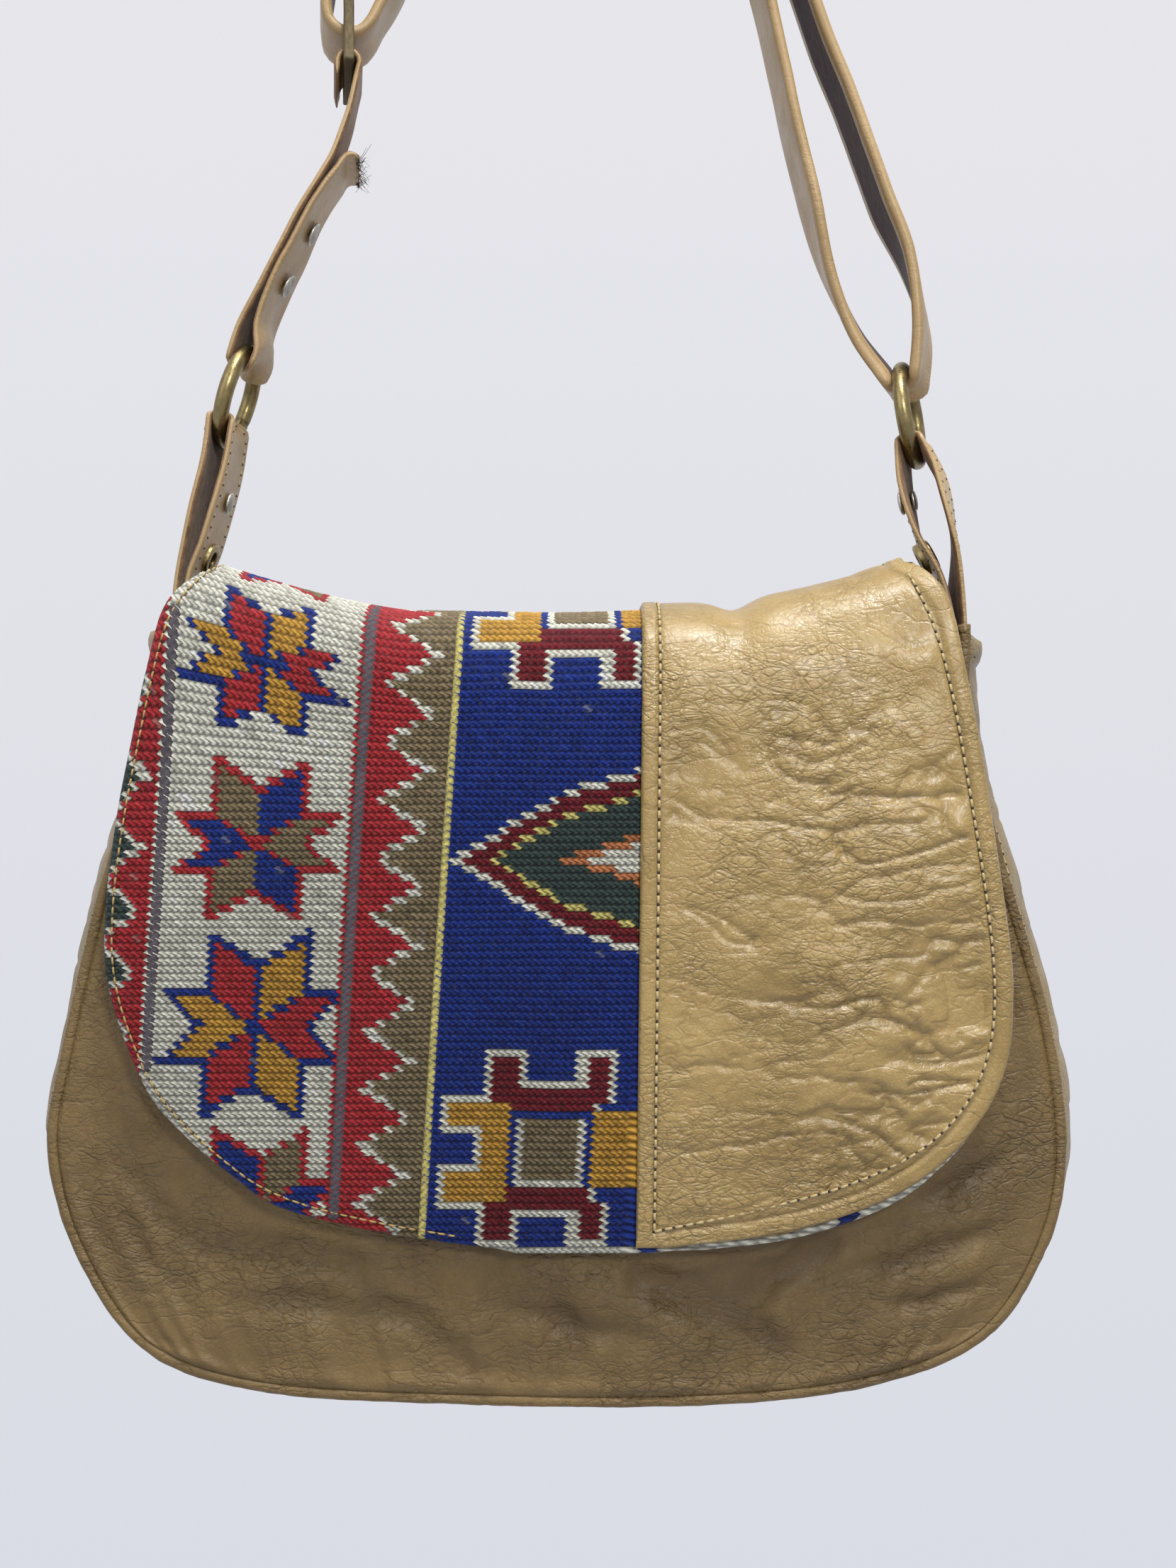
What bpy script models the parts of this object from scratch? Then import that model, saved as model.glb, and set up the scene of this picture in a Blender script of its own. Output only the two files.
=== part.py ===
"""Kilim saddle bag: a soft leather shoulder bag with a kilim flap, hanging by its doubled strap.

Metres, +X to the right of the front view, +Y to the back, +Z up. Everything is laid out in bag
coordinates (x 0 at the middle, y 0 at the front seam, z 0 at the foot) under one empty, which puts
the point that a hook holds, under the crown of the strap, at the origin.
"""
from math import cos, pi, radians, sin, sqrt

import bmesh
import bpy
from mathutils import Matrix, Vector

# Clearances
GAP = 0.0003                    # air between pieces that touch
LAYER_GAP = 0.0008              # air between the layers of the flap
SEAT_ROOM = 0.0009              # air under a rivet's head, on leather that curves

# Leather and cloth
LEATHER = 0.0018                # panels and gusset
TAB_LEATHER = 0.0020            # tabs and the short strap
STRAP_LEATHER = 0.0036          # long strap, with turned edges
OVERLAY_LEATHER = 0.0016        # leather half of the flap
KILIM = 0.0022                  # woven half of the flap, under its ridges
BACKING = 0.0010                # lining of the flap
LINING = 0.0008                 # lining of the bag

# Body of the bag: its front seam, from the top left corner round the foot to the top right corner
SEAM = ((-0.1215, 0.250), (-0.126, 0.217), (-0.142, 0.166), (-0.154, 0.114), (-0.158, 0.086),
        (-0.150, 0.055), (-0.129, 0.0245), (-0.093, 0.0115), (-0.030, 0.0075), (0.040, 0.007),
        (0.095, 0.0125), (0.132, 0.027), (0.151, 0.054), (0.1575, 0.084), (0.1525, 0.125),
        (0.138, 0.176), (0.128, 0.217), (0.1275, 0.250))
LEFT_CORNER = 6                 # where the foot begins and ends in that list
RIGHT_CORNER = 11
SIDE_STEPS = 10
FOOT_STEPS = 22
DEPTH_FOOT = 0.080
DEPTH_TOP = 0.072
BODY_HEIGHT = 0.250
GUSSET_BULGE = 0.012
GUSSET_STEPS = 4
HEM_HEIGHT = 0.010              # rolled hem at the top of the gusset
HEM_BULGE = 0.0014
PIPING_RADIUS = 0.0022
PIPING_SIDES = 5
FRONT_TOP = 0.243               # top edge of the front panel at its ends
FRONT_SAG = 0.007
BACK_TOP = 0.2395
FRONT_CROWN = 0.0072            # how far the front panel swells
BACK_CROWN = 0.006
PUCKER = 0.0011                 # short creases along the foot of the front panel
PUCKER_COUNT = 9
LINING_INSET = 0.0065           # room for the tabs between gusset and lining
LINING_FLOOR = 0.016
LINING_TOP = 0.228
LINING_HEIGHTS = (LINING_FLOOR, 0.020, 0.030, 0.050, 0.090, 0.140, 0.190, LINING_TOP)
LINING_CORNER = 0.010           # bevel of its upright corners

# Flap: its inner face in section, from the seam at the back over the top to its foot (y, z)
FLAP_SECTION = ((0.0700, BACK_TOP + GAP), (0.0694, 0.2450), (0.0640, 0.2495), (0.0500, 0.2515),
                (0.0350, 0.2518), (0.0180, 0.2515), (0.0045, 0.2494), (-0.0044, 0.2440),
                (-0.0086, 0.2350), (-0.0102, 0.2220), (-0.0116, 0.1900), (-0.0124, 0.1500),
                (-0.0122, 0.1000), (-0.0105, 0.0570))
# The flap's two side edges, as the distance from its middle at a height on the front
FLAP_LEFT = ((0.1085, 0.264), (0.1195, 0.251), (0.1253, 0.2315), (0.1296, 0.212), (0.1339, 0.190),
             (0.1371, 0.160), (0.1356, 0.1366), (0.1253, 0.1085), (0.1134, 0.0934),
             (0.0983, 0.0804), (0.0832, 0.0707), (0.0487, 0.0627), (0.0055, 0.0572))
FLAP_RIGHT = ((0.1105, 0.264), (0.1205, 0.2524), (0.1264, 0.2287), (0.1318, 0.200),
              (0.1390, 0.1523), (0.1400, 0.133), (0.1384, 0.1165), (0.1324, 0.0999),
              (0.1216, 0.0854), (0.1050, 0.0735), (0.0810, 0.0640), (0.0573, 0.0593),
              (0.0249, 0.0572))
FLAP_REAR_HALF = 0.1065         # half width at the seam
CORNER_RAISE = 0.015            # the corners of the top stand higher than its middle
KINK = 0.058                    # where the top begins to rise towards a corner
RAISE_FOOT = 0.185              # height on the front where that rise has died out
RAISE_RUN = 0.072               # length over the top in which it grows
FLAP_TOP_RUN = 0.080            # length over the top in which the flap reaches its full width
FLAP_FOOT_HALF = 0.012          # least half width, at the foot
FOOT_CURVE = 0.110              # height under which the side edges curve in
FOOT_INSET = 1.6                # there, an inset edge stands this much higher for each metre inset
OVERLAY_EDGE_TOP = 0.0270       # left edge of the leather half
OVERLAY_EDGE_FOOT = 0.0240
OVERLAY_INSET = 0.0018          # kilim left showing round the leather
CORNER_COLUMNS = KINK + 0.010   # a sheet that reaches beyond this gets a column at the kink
BACKING_INSET = 0.0012
CREASE = 0.0007                 # height of the creases in the leather half
CREASE_PITCH = 0.0135

# Weave and bands of the kilim, as distances from the middle at the top and their lean
RIDGE = 0.0005
ROWS_PER_STEP = 4               # half ridges in one long step of the flap
BAND_LEAN = 0.063               # sideways run of the bands for each metre down
BAND_TOP = 0.246
TEETH_PITCH = 0.019
TEETH = (-0.1275, 0.0045)       # middle of the toothed edge and its reach
BORDER_STRIPE = (-0.1186, -0.1145)
STAR_MIDDLE = -0.0868
STAR_REACH = (0.0050, 0.0215)   # half width of the star field at its waist and its middle
STAR_PITCH = 0.057
INNER_STRIPE = (-0.0592, -0.0551)
ZIGZAG = (-0.0433, 0.0070)
ZIGZAG_PITCH = 0.0175
YELLOW_STRIPE = (-0.0314, -0.0286)
MEDALLION_HEIGHT = 0.175
MEDALLION_HALF = 0.030
SLIVER = 0.0006                 # least width of a band that the edge cuts off

# Snap under the flap
SNAP_ROW = 5                    # row of the front panel's grid that carries it
SNAP_RADIUS = 0.007
SOCKET_HEIGHT = 0.0012
SNAP_REACH = 0.020              # height searched for the flap's inner face

# Rings, straps and tabs
STRAP_Y = 0.038                 # middle of every strap, from the front seam
STRAP_WIDTH = 0.028
RING_RADIUS = 0.0155            # to the middle of the wire
RING_WIRE = 0.0026              # radius of the wire
RING_STEPS = 20
WIRE_SIDES = 8
RING_LEFT = (-0.1085, 0.3303)
RING_LEFT_LEAN = radians(18.0)
RING_RIGHT = (0.1178, 0.3239)
RING_RIGHT_LEAN = radians(-8.0)
RING_RIGHT_YAW = radians(-20.0)
RING_LEFT_YAW = 0.0
CUP_FADE = 0.030                # strap length over which the cup of a fold flattens
TWIST_HOLD = 0.020              # stretch either side of a ring that turns with it
TWIST_FADE = 0.055
FOLD_STEPS = 6
WIDTH_STEPS = 3                 # facets across a strap

TAB_FOOT = 0.228                # lower ends of the tabs, inside the hem
HEM_MOUTH = 0.242               # where the tabs come out of the hem

SLIDER_X = -0.0712
SLIDER_FOOT = 0.4360
SLIDER_BAR = 0.0034             # square section
SLIDER_WINDOW = 0.0105          # lower window
SLIDER_UPPER_WINDOW = 0.0135
SLIDER_SIDE_ROOM = 0.0012       # from the strap's edge to a side bar
SLIDER_YAW = radians(9.0)

SHORT_STRAP_OVERHANG = 0.0045   # beyond the slider bar, on its far side
LONG_LEAF = ((-0.1040, 0.3560), (-0.0950, 0.3710), (-0.0857, 0.3897), (-0.0764, 0.4072),
             (-0.0710, 0.4223))
FRAYED_END = 0.4040             # height of the short leaf's end
LEAF_START = 0.0040             # the short leaf leaves the long one this far above the ring's fold
# Distance between the two leaves of the short strap, and the heights where it holds
LEAF_SPREAD = ((0.0080, 0.351), (0.0060, 0.356), (0.0027, 0.362), (0.0026, 0.394), (0.0036, 0.404))

CROWN_Z = 0.690                 # the hook's height, under the strap
CROWN_X = 0.004
CROWN_RADIUS = 0.0125
RIGHT_RUN = 0.050               # beyond this the strap follows the right ring
# Middle lines of the long strap's strands: from the slide over the crown to the right ring and back
INNER_UP = ((-0.0610, 0.4580), (-0.0535, 0.4720), (-0.0475, 0.4950), (-0.0390, 0.5350),
            (-0.0230, 0.6050))
INNER_DOWN = ((0.0295, 0.6050), (0.0500, 0.5350), (0.0700, 0.4570), (0.0790, 0.4160),
              (0.0885, 0.3800), (0.0985, 0.3560))
OUTER_UP = ((0.1215, 0.3560), (0.1170, 0.3760), (0.1080, 0.3960), (0.0960, 0.4290),
            (0.0850, 0.4570), (0.0590, 0.5350), (0.0352, 0.6050))
OUTER_DOWN = ((-0.0285, 0.6050), (-0.0455, 0.5400), (-0.0600, 0.5130), (-0.0735, 0.4880),
              (-0.0782, 0.4640), (-0.0781, 0.4530), (-0.0752, 0.4491), (-0.0710, 0.4476),
              (-0.0668, 0.4490), (-0.0635, 0.4530))

RIVET_RADIUS = 0.0045
RIVET_POST = 0.0015
RIVET_HEAD = 0.0013
RIVET_SIDES = 10
DRILL_REACH = 1.5               # reach of a hole's cutter, in seats
RIVET_HEIGHTS = (0.3700, 0.3870)
TAB_RIVET_ABOVE_FOOT = 0.067
TAB_EYELET_ABOVE_FOOT = 0.0480
EYELET_RADIUS = 0.0056
EYELET_HOLE = 0.0030
EYELET_WALL = 0.0008
TAB_LEFT_OUTER = ((-0.1255, 0.268), (-0.1212, 0.290), (-0.1180, 0.305))
TAB_LEFT_INNER = ((-0.1120, 0.300), (-0.1170, 0.282), (-0.1225, 0.266))
TAB_RIGHT_OUTER = ((0.1330, 0.262), (0.1325, 0.280), (0.1290, 0.298))
TAB_RIGHT_INNER = ((0.1172, 0.295), (0.1210, 0.281), (0.1270, 0.267))


def smooth_path(points, steps=10):
    """A Catmull-Rom curve through the points, with every point on it."""
    points = [Vector(p) for p in points]
    ends = [points[0] * 2 - points[1]] + points + [points[-1] * 2 - points[-2]]
    path = []
    for p0, p1, p2, p3 in zip(ends, ends[1:], ends[2:], ends[3:]):
        for step in range(steps):
            t = step / steps
            path.append(0.5 * (2 * p1 + (p2 - p0) * t + (2 * p0 - 5 * p1 + 4 * p2 - p3) * t * t
                               + (3 * p1 - p0 - 3 * p2 + p3) * t ** 3))
    return path + [points[-1]]


def lengths(path):
    """Running length at each point of a path."""
    total = [0.0]
    for a, b in zip(path, path[1:]):
        total.append(total[-1] + (b - a).length)
    return total


def at_length(path, run, where):
    """The point of a path at a running length."""
    for (a, b), (low, high) in zip(zip(path, path[1:]), zip(run, run[1:])):
        if where <= high:
            return a.lerp(b, (where - low) / (high - low))
    return path[-1].copy()


def resample(path, count):
    """The path as count steps of equal length."""
    run = lengths(path)
    return [at_length(path, run, run[-1] * step / count) for step in range(count + 1)]


def offset_line(points, distance):
    """A line in the front view moved to its right hand, which is outwards along the seam."""
    moved = []
    for index, point in enumerate(points):
        run = points[min(index + 1, len(points) - 1)] - points[max(index - 1, 0)]
        moved.append(point + Vector((run.y, -run.x)).normalized() * distance)
    return moved


def ease(t):
    """Smooth step from 0 to 1."""
    t = min(max(t, 0.0), 1.0)
    return t * t * (3 - 2 * t)


def interpolate(table, key):
    """Value at a key in a list of (value, key) pairs whose keys fall."""
    if key >= table[0][1]:
        return table[0][0]
    for (v0, k0), (v1, k1) in zip(table, table[1:]):
        if key >= k1:
            return v0 + (v1 - v0) * (k0 - key) / (k0 - k1)
    return table[-1][0]


def back_y(z):
    """Depth of the bag at a height."""
    return DEPTH_FOOT + (DEPTH_TOP - DEPTH_FOOT) * min(max(z / BODY_HEIGHT, 0.0), 1.0)


def material(name, colour, roughness, metallic=0.0):
    made = bpy.data.materials.new(name)
    made.use_nodes = True
    shader = made.node_tree.nodes["Principled BSDF"]
    shader.inputs["Base Color"].default_value = (*colour, 1.0)
    shader.inputs["Roughness"].default_value = roughness
    shader.inputs["Metallic"].default_value = metallic
    return made


def body(name, points, faces, made, parent, pivot=(0.0, 0.0, 0.0), slots=None, smooth=True):
    """One closed mesh object whose origin, or whose parent's, is the pivot, with its faces out."""
    mesh = bpy.data.meshes.new(name)
    mesh.from_pydata([Vector(p) - Vector(pivot) for p in points], [], faces)
    for each in made if isinstance(made, list) else [made]:
        mesh.materials.append(each)
    if slots:
        mesh.polygons.foreach_set("material_index", slots)
    work = bmesh.new()
    work.from_mesh(mesh)
    bmesh.ops.recalc_face_normals(work, faces=work.faces)
    if work.calc_volume(signed=True) < 0.0:
        bmesh.ops.reverse_faces(work, faces=work.faces)
    work.to_mesh(mesh)
    work.free()
    if smooth:
        mesh.shade_smooth()
        mesh.set_sharp_from_angle(angle=radians(40))
    piece = bpy.data.objects.new(name, mesh)
    piece.parent = parent
    if parent.name == "bag_frame":
        piece.location = pivot
    bpy.context.scene.collection.objects.link(piece)
    return piece


def shell(outer, inner):
    """Points and faces of a sheet between two grids of the same size."""
    rows, columns = len(outer), len(outer[0])
    points = [p for row in outer for p in row] + [p for row in inner for p in row]
    half = rows * columns

    def at(row, column, side=0):
        return side * half + row * columns + column

    faces = []
    for side in (0, 1):
        for row in range(rows - 1):
            for column in range(columns - 1):
                a, b = at(row, column, side), at(row, column + 1, side)
                c, d = at(row + 1, column + 1, side), at(row + 1, column, side)
                faces += [(a, b, c), (a, c, d)]
    for row in range(rows - 1):
        for column in (0, columns - 1):
            faces.append((at(row, column), at(row + 1, column),
                          at(row + 1, column, 1), at(row, column, 1)))
    for column in range(columns - 1):
        for row in (0, rows - 1):
            faces.append((at(row, column), at(row, column + 1),
                          at(row, column + 1, 1), at(row, column, 1)))
    return points, faces


def loft(rings, closed=False):
    """Points and faces through rings of equal length, capped at the ends unless it closes."""
    count = len(rings[0])
    points = [p for ring in rings for p in ring]
    pairs = list(zip(range(len(rings)), range(1, len(rings))))
    if closed:
        pairs.append((len(rings) - 1, 0))
    faces = [(a * count + k, a * count + (k + 1) % count, b * count + (k + 1) % count, b * count + k)
             for a, b in pairs for k in range(count)]
    if not closed:
        faces.append(tuple(range(count)))
        faces.append(tuple(range((len(rings) - 1) * count, len(rings) * count)))
    return points, faces


def seam_parts():
    """The front seam as its left side, foot and right side, each in equal steps."""
    steps = 10
    path = smooth_path(SEAM, steps)
    left, right = LEFT_CORNER * steps, RIGHT_CORNER * steps
    return (resample(path[:left + 1], SIDE_STEPS), resample(path[left:right + 1], FOOT_STEPS),
            resample(path[right:], SIDE_STEPS))


def seam_line(distance=0.0):
    left, foot, right = seam_parts()
    return offset_line(left + foot[1:] + right[1:], distance)


def panel_grid(top_z, sag):
    """A panel's outline filled with a grid: rows from its top edge to its foot, as (x, z)."""
    line = seam_line(-(PIPING_RADIUS + GAP))
    left = line[:SIDE_STEPS + 1]
    foot = line[SIDE_STEPS:SIDE_STEPS + FOOT_STEPS + 1]
    right = line[SIDE_STEPS + FOOT_STEPS:][::-1]
    for side in (left, right):
        side[0] = side[1].lerp(side[0], (top_z - side[1].y) / (side[0].y - side[1].y))
    grid = []
    for j in range(SIDE_STEPS + 1):
        v = j / SIDE_STEPS
        row = []
        for i in range(FOOT_STEPS + 1):
            u = i / FOOT_STEPS
            top = left[0].lerp(right[0], u) - Vector((0.0, sag * sin(pi * u)))
            point = top * (1 - v) + foot[i] * v + left[j] * (1 - u) + right[j] * u
            point -= (left[0] * (1 - u) + right[0] * u) * (1 - v) + (foot[0] * (1 - u) + foot[-1] * u) * v
            row.append(point)
        grid.append(row)
    return grid


def swell_at(u, v):
    """Share of a panel's swelling at a place on its grid."""
    return sin(pi * u) ** 0.7 * sin(pi * (0.12 + 0.88 * v)) ** 0.8 if 0 < u < 1 and v < 1 else 0.0


def panel(name, top_z, sag, front, made, parent):
    """Front or back panel: a swelling sheet inside its piping."""
    outer, inner = [], []
    for j, row in enumerate(panel_grid(top_z, sag)):
        v = j / SIDE_STEPS
        outer_row, inner_row = [], []
        for i, point in enumerate(row):
            u = i / FOOT_STEPS
            swell = swell_at(u, v)
            if front:
                fold = PUCKER * sin(2 * pi * PUCKER_COUNT * u) * ease((v - 0.55) / 0.3) * (v < 1)
                y = -FRONT_CROWN * swell + fold * sin(pi * u)
                outer_row.append(Vector((point.x, y, point.y)))
                inner_row.append(Vector((point.x, y + LEATHER, point.y)))
            else:
                y = back_y(point.y) + BACK_CROWN * swell
                outer_row.append(Vector((point.x, y, point.y)))
                inner_row.append(Vector((point.x, y - LEATHER, point.y)))
        outer.append(outer_row)
        inner.append(inner_row)
    return body(name, *shell(outer, inner), made, parent)


def piping(name, back, made, parent):
    """The rolled ridge along a seam."""
    line = seam_line()
    rings = []
    for index, point in enumerate(line):
        run = line[min(index + 1, len(line) - 1)] - line[max(index - 1, 0)]
        out = Vector((run.y, 0.0, -run.x)).normalized()
        y = back_y(point.y) - LEATHER / 2 if back else LEATHER / 2
        middle = Vector((point.x, y, point.y))
        rings.append([middle + out * PIPING_RADIUS * cos(2 * pi * k / PIPING_SIDES)
                      + Vector((0.0, PIPING_RADIUS * sin(2 * pi * k / PIPING_SIDES), 0.0))
                      for k in range(PIPING_SIDES)])
    return body(name, *loft(rings), made, parent)


def gusset_swell(t):
    """Bulge of the gusset at a share of its way from the front seam to the back one."""
    return GUSSET_BULGE * sin(pi * t) ** 0.8 if 0 < t < 1 else 0.0


def tab_foot(side):
    """Where a tab's two leaves lie against each other and the gusset, on one side of the bag."""
    top = seam_line()[0 if side < 0 else -1]
    front = LEATHER / 2 + PIPING_RADIUS + GAP
    back = back_y(top.y) - front
    room = []
    for edge in (STRAP_Y - STRAP_WIDTH / 2, STRAP_Y + STRAP_WIDTH / 2):
        step = (edge - front) / (back - front) * GUSSET_STEPS
        low = int(step)
        room.append(gusset_swell(low / GUSSET_STEPS) * (low + 1 - step)
                    + gusset_swell((low + 1) / GUSSET_STEPS) * (step - low))
    reach = abs(top.x) + min(room) - LEATHER - 2 * GAP
    return side * (reach - TAB_LEATHER - GAP / 2)


def gusset(made, parent):
    """The band round the sides and foot, bulging outwards, with a rolled hem at each end."""
    line = seam_line()
    outward = seam_line(1.0)
    outer, inner = [], []
    for point, far in zip(line, outward):
        out = Vector((far.x - point.x, 0.0, far.y - point.y))
        front = LEATHER / 2 + PIPING_RADIUS + GAP
        back = back_y(point.y) - front
        hem = HEM_BULGE * (point.y > BODY_HEIGHT - HEM_HEIGHT)
        outer_row, inner_row = [], []
        for step in range(GUSSET_STEPS + 1):
            t = step / GUSSET_STEPS
            base = Vector((point.x, front + (back - front) * t, point.y))
            outer_row.append(base + out * (gusset_swell(t) + hem))
            inner_row.append(base + out * (gusset_swell(t) - LEATHER))
        outer.append(outer_row)
        inner.append(inner_row)
    return body("gusset", *shell(outer, inner), made, parent)


def lining(made, parent):
    """The cloth cup inside the bag, open at its top."""
    left, foot, right = seam_parts()
    line = seam_line(-LINING_INSET)
    half = len(line) // 2

    def edge_x(z, side):
        points = line[:half] if side < 0 else line[half:][::-1]
        return interpolate([(p.x, p.y) for p in points], z)

    def ring(z, inset):
        low = edge_x(z, -1) + inset
        high = edge_x(z, 1) - inset
        front = LEATHER + GAP + inset
        back = back_y(z) - LEATHER - GAP - inset
        bevel = LINING_CORNER
        corners = ((low, front + bevel), (low + bevel, front), (low * 0.4 + high * 0.6, front),
                   (high - bevel, front), (high, front + bevel), (high, back - bevel),
                   (high - bevel, back), (low * 0.6 + high * 0.4, back), (low + bevel, back),
                   (low, back - bevel))
        return [Vector((x, y, z)) for x, y in corners]

    rings = [ring(z, 0.0) for z in LINING_HEIGHTS]
    rings += [ring(max(z, LINING_FLOOR + LINING), LINING) for z in LINING_HEIGHTS[::-1]]
    return body("lining", *loft(rings), made, parent, smooth=False)


FLAP_PATH = smooth_path(FLAP_SECTION, 12)
FLAP_RUN = lengths(FLAP_PATH)
FLAP_LENGTH = FLAP_RUN[-1]


def section_at(run):
    """Point of the flap's section at a running length, with its outward normal, as (y, z)."""
    point = at_length(FLAP_PATH, FLAP_RUN, run)
    step = 0.0005
    ahead = at_length(FLAP_PATH, FLAP_RUN, min(run + step, FLAP_LENGTH))
    behind = at_length(FLAP_PATH, FLAP_RUN, max(run - step, 0.0))
    along = (ahead - behind).normalized()
    return point, Vector((along.y, -along.x))


def corner_share(z):
    """Share of the corners' rise at a height on the front."""
    return ease((z - RAISE_FOOT) / (BODY_HEIGHT - RAISE_FOOT))


def on_flap(x, run, height):
    """A point of the flap at a height above its inner face."""
    point, out = section_at(run)
    raised = CORNER_RAISE * max(abs(x) - KINK, 0.0) / (FLAP_REAR_HALF - KINK)
    front = corner_share(point.y) if point.x < 0.0 else 1.0
    rear = min(run / RAISE_RUN, 1.0)
    return Vector((x, point.x + out.x * height, point.y + out.y * height + raised * front * rear))


def flap_rows():
    """Running lengths of the flap's rows: close at its two bends and near its foot."""
    rows = [0.0]
    spacing = ((0.018, 0.0045), (0.062, 0.0073), (0.104, 0.0042), (FLAP_LENGTH - 0.044, 0.0140))
    for end, step in spacing:
        count = max(round((end - rows[-1]) / step), 1)
        start = rows[-1]
        rows += [start + (end - start) * k / count for k in range(1, count + 1)]
    start, count = rows[-1], 7
    return rows + [start + (FLAP_LENGTH - start) * k / count for k in range(1, count + 1)]


def flap_side(run, left, inset):
    """How far the flap reaches from its middle at a running length."""
    point = at_length(FLAP_PATH, FLAP_RUN, run)
    table = FLAP_LEFT if left else FLAP_RIGHT
    if point.x > 0.0:
        return FLAP_REAR_HALF + (table[0][0] - FLAP_REAR_HALF) * ease(run / FLAP_TOP_RUN) - inset
    height = point.y + CORNER_RAISE * corner_share(point.y)
    foot = inset * FOOT_INSET * (point.y < FOOT_CURVE)
    return max(interpolate(table, min(height + foot, table[0][1])) - inset, FLAP_FOOT_HALF)


def flap_sheet(name, base, thickness, columns, inset, foot, parent, made, relief=None):
    """A layer of the flap: its base height, its thickness, and a function that gives its columns."""
    outer, inner = [], []
    last = FLAP_LENGTH - foot
    rows = [run for run in flap_rows() if run < last - 0.002] + [last]
    for run in rows:
        across = columns(run)
        outer.append([on_flap(x, run, base + thickness + (relief(x, run) if relief else 0.0))
                      for x in across])
        inner.append([on_flap(x, run, base) for x in across])
    return body(name, *shell(outer, inner), made, parent, FLAP_HINGE)


BACKING_BASE = 0.0
KILIM_BASE = BACKING_BASE + BACKING + LAYER_GAP
OVERLAY_BASE = KILIM_BASE + KILIM + RIDGE + LAYER_GAP
FLAP_HINGE = Vector((0.0, FLAP_SECTION[0][0] + KILIM_BASE + KILIM, FLAP_SECTION[0][1]))


def spread(low, high, count):
    return [low + (high - low) * k / count for k in range(count + 1)]


def backing(made, parent):
    """Cloth lining on the underside of the flap."""
    def columns(run):
        left = -flap_side(run, True, BACKING_INSET)
        right = flap_side(run, False, BACKING_INSET)
        if min(-left, right) < CORNER_COLUMNS:
            return spread(left, right, 5)
        return [left, (left - KINK) / 2, -KINK, KINK, (right + KINK) / 2, right]

    return flap_sheet("flap_backing", BACKING_BASE, BACKING, columns, BACKING_INSET,
                      BACKING_INSET, parent, made)


def overlay_edge(run):
    return OVERLAY_EDGE_TOP + (OVERLAY_EDGE_FOOT - OVERLAY_EDGE_TOP) * run / FLAP_LENGTH


def overlay(made, parent):
    """Leather half of the flap, with soft creases across it."""
    def columns(run):
        left = overlay_edge(run)
        right = max(flap_side(run, False, OVERLAY_INSET), left + 0.010)
        if right < CORNER_COLUMNS:
            return spread(left, right, 5)
        return [left, (left + KINK) / 2] + spread(KINK, right, 3)

    def creases(x, run):
        if not 0.004 < run < FLAP_LENGTH - 0.006:
            return 0.0
        across = ease((x - OVERLAY_EDGE_TOP) / 0.05)
        return CREASE * across * (0.5 + 0.5 * sin(2 * pi * run / CREASE_PITCH + 9.0 * x))

    return flap_sheet("flap_leather", OVERLAY_BASE, OVERLAY_LEATHER, columns, OVERLAY_INSET,
                      OVERLAY_INSET, parent, made, creases)


def wave(run, pitch):
    """A pointed wave from 0 to 1 and back along the flap."""
    part = (run / pitch) % 1.0
    return 1.0 - abs(2.0 * part - 1.0)


def kilim_columns(run):
    """Edges of the kilim's bands at a running length, left to right."""
    lean = -BAND_LEAN * max(run - 0.090, 0.0)
    left = -flap_side(run, True, 0.0)
    right = flap_side(run, False, 0.0)
    star = STAR_REACH[0] + (STAR_REACH[1] - STAR_REACH[0]) * wave(run, STAR_PITCH)
    from_middle = abs(run - (FLAP_LENGTH - MEDALLION_HEIGHT + 0.060))
    medallion = 0.9 * min(1.0, from_middle / MEDALLION_HALF) + 0.1
    field = YELLOW_STRIPE[1] + (OVERLAY_EDGE_TOP - 0.004 - YELLOW_STRIPE[1]) * medallion
    bands = [TEETH[0] + TEETH[1] * (2 * wave(run, TEETH_PITCH) - 1), *BORDER_STRIPE,
             STAR_MIDDLE - star, STAR_MIDDLE + star, *INNER_STRIPE,
             ZIGZAG[0] + ZIGZAG[1] * (2 * wave(run, ZIGZAG_PITCH) - 1), *YELLOW_STRIPE, field]
    edges = [left]
    for band in bands:
        edges.append(max(band + lean, edges[-1] + SLIVER))
    under = max(overlay_edge(run) + 0.004, edges[-1] + SLIVER)
    right = max(right, under + 2 * SLIVER)
    middle = max(min(KINK, right - SLIVER), under + SLIVER)
    return edges + [under, middle, right]


def kilim(made, parent):
    """Woven half of the flap, running on under the leather: ridged rows in fields of colour."""
    rows = flap_rows()
    outer, inner, fine = [], [], []
    for start, end in zip(rows, rows[1:]):
        ridged = end - start > 0.005 and start > 0.060
        parts = (ROWS_PER_STEP if end - start > 0.009 else 2) if ridged else 1
        for part in range(parts):
            run = start + (end - start) * part / parts
            fine.append((run, start, end, part / parts, RIDGE * (part % 2) * ridged))
    fine.append((rows[-1], rows[-2], rows[-1], 1.0, 0.0))
    for run, start, end, share, ridge in fine:
        across = kilim_columns(run)
        row = []
        for index, x in enumerate(across):
            flat = on_flap(x, start, KILIM_BASE + KILIM).lerp(on_flap(x, end, KILIM_BASE + KILIM), share)
            bare = 0 < index < len(across) - 3
            out = section_at(run)[1]
            row.append(flat + Vector((0.0, out.x, out.y)) * ridge * bare)
        outer.append(row)
    for run in rows:
        inner.append([on_flap(x, run, KILIM_BASE) for x in kilim_columns(run)])
    return body("flap_kilim", *ridged_sheet(outer, inner, [f[0] for f in fine], rows), made, parent,
                FLAP_HINGE, slots=kilim_slots(fine, rows))


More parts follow.
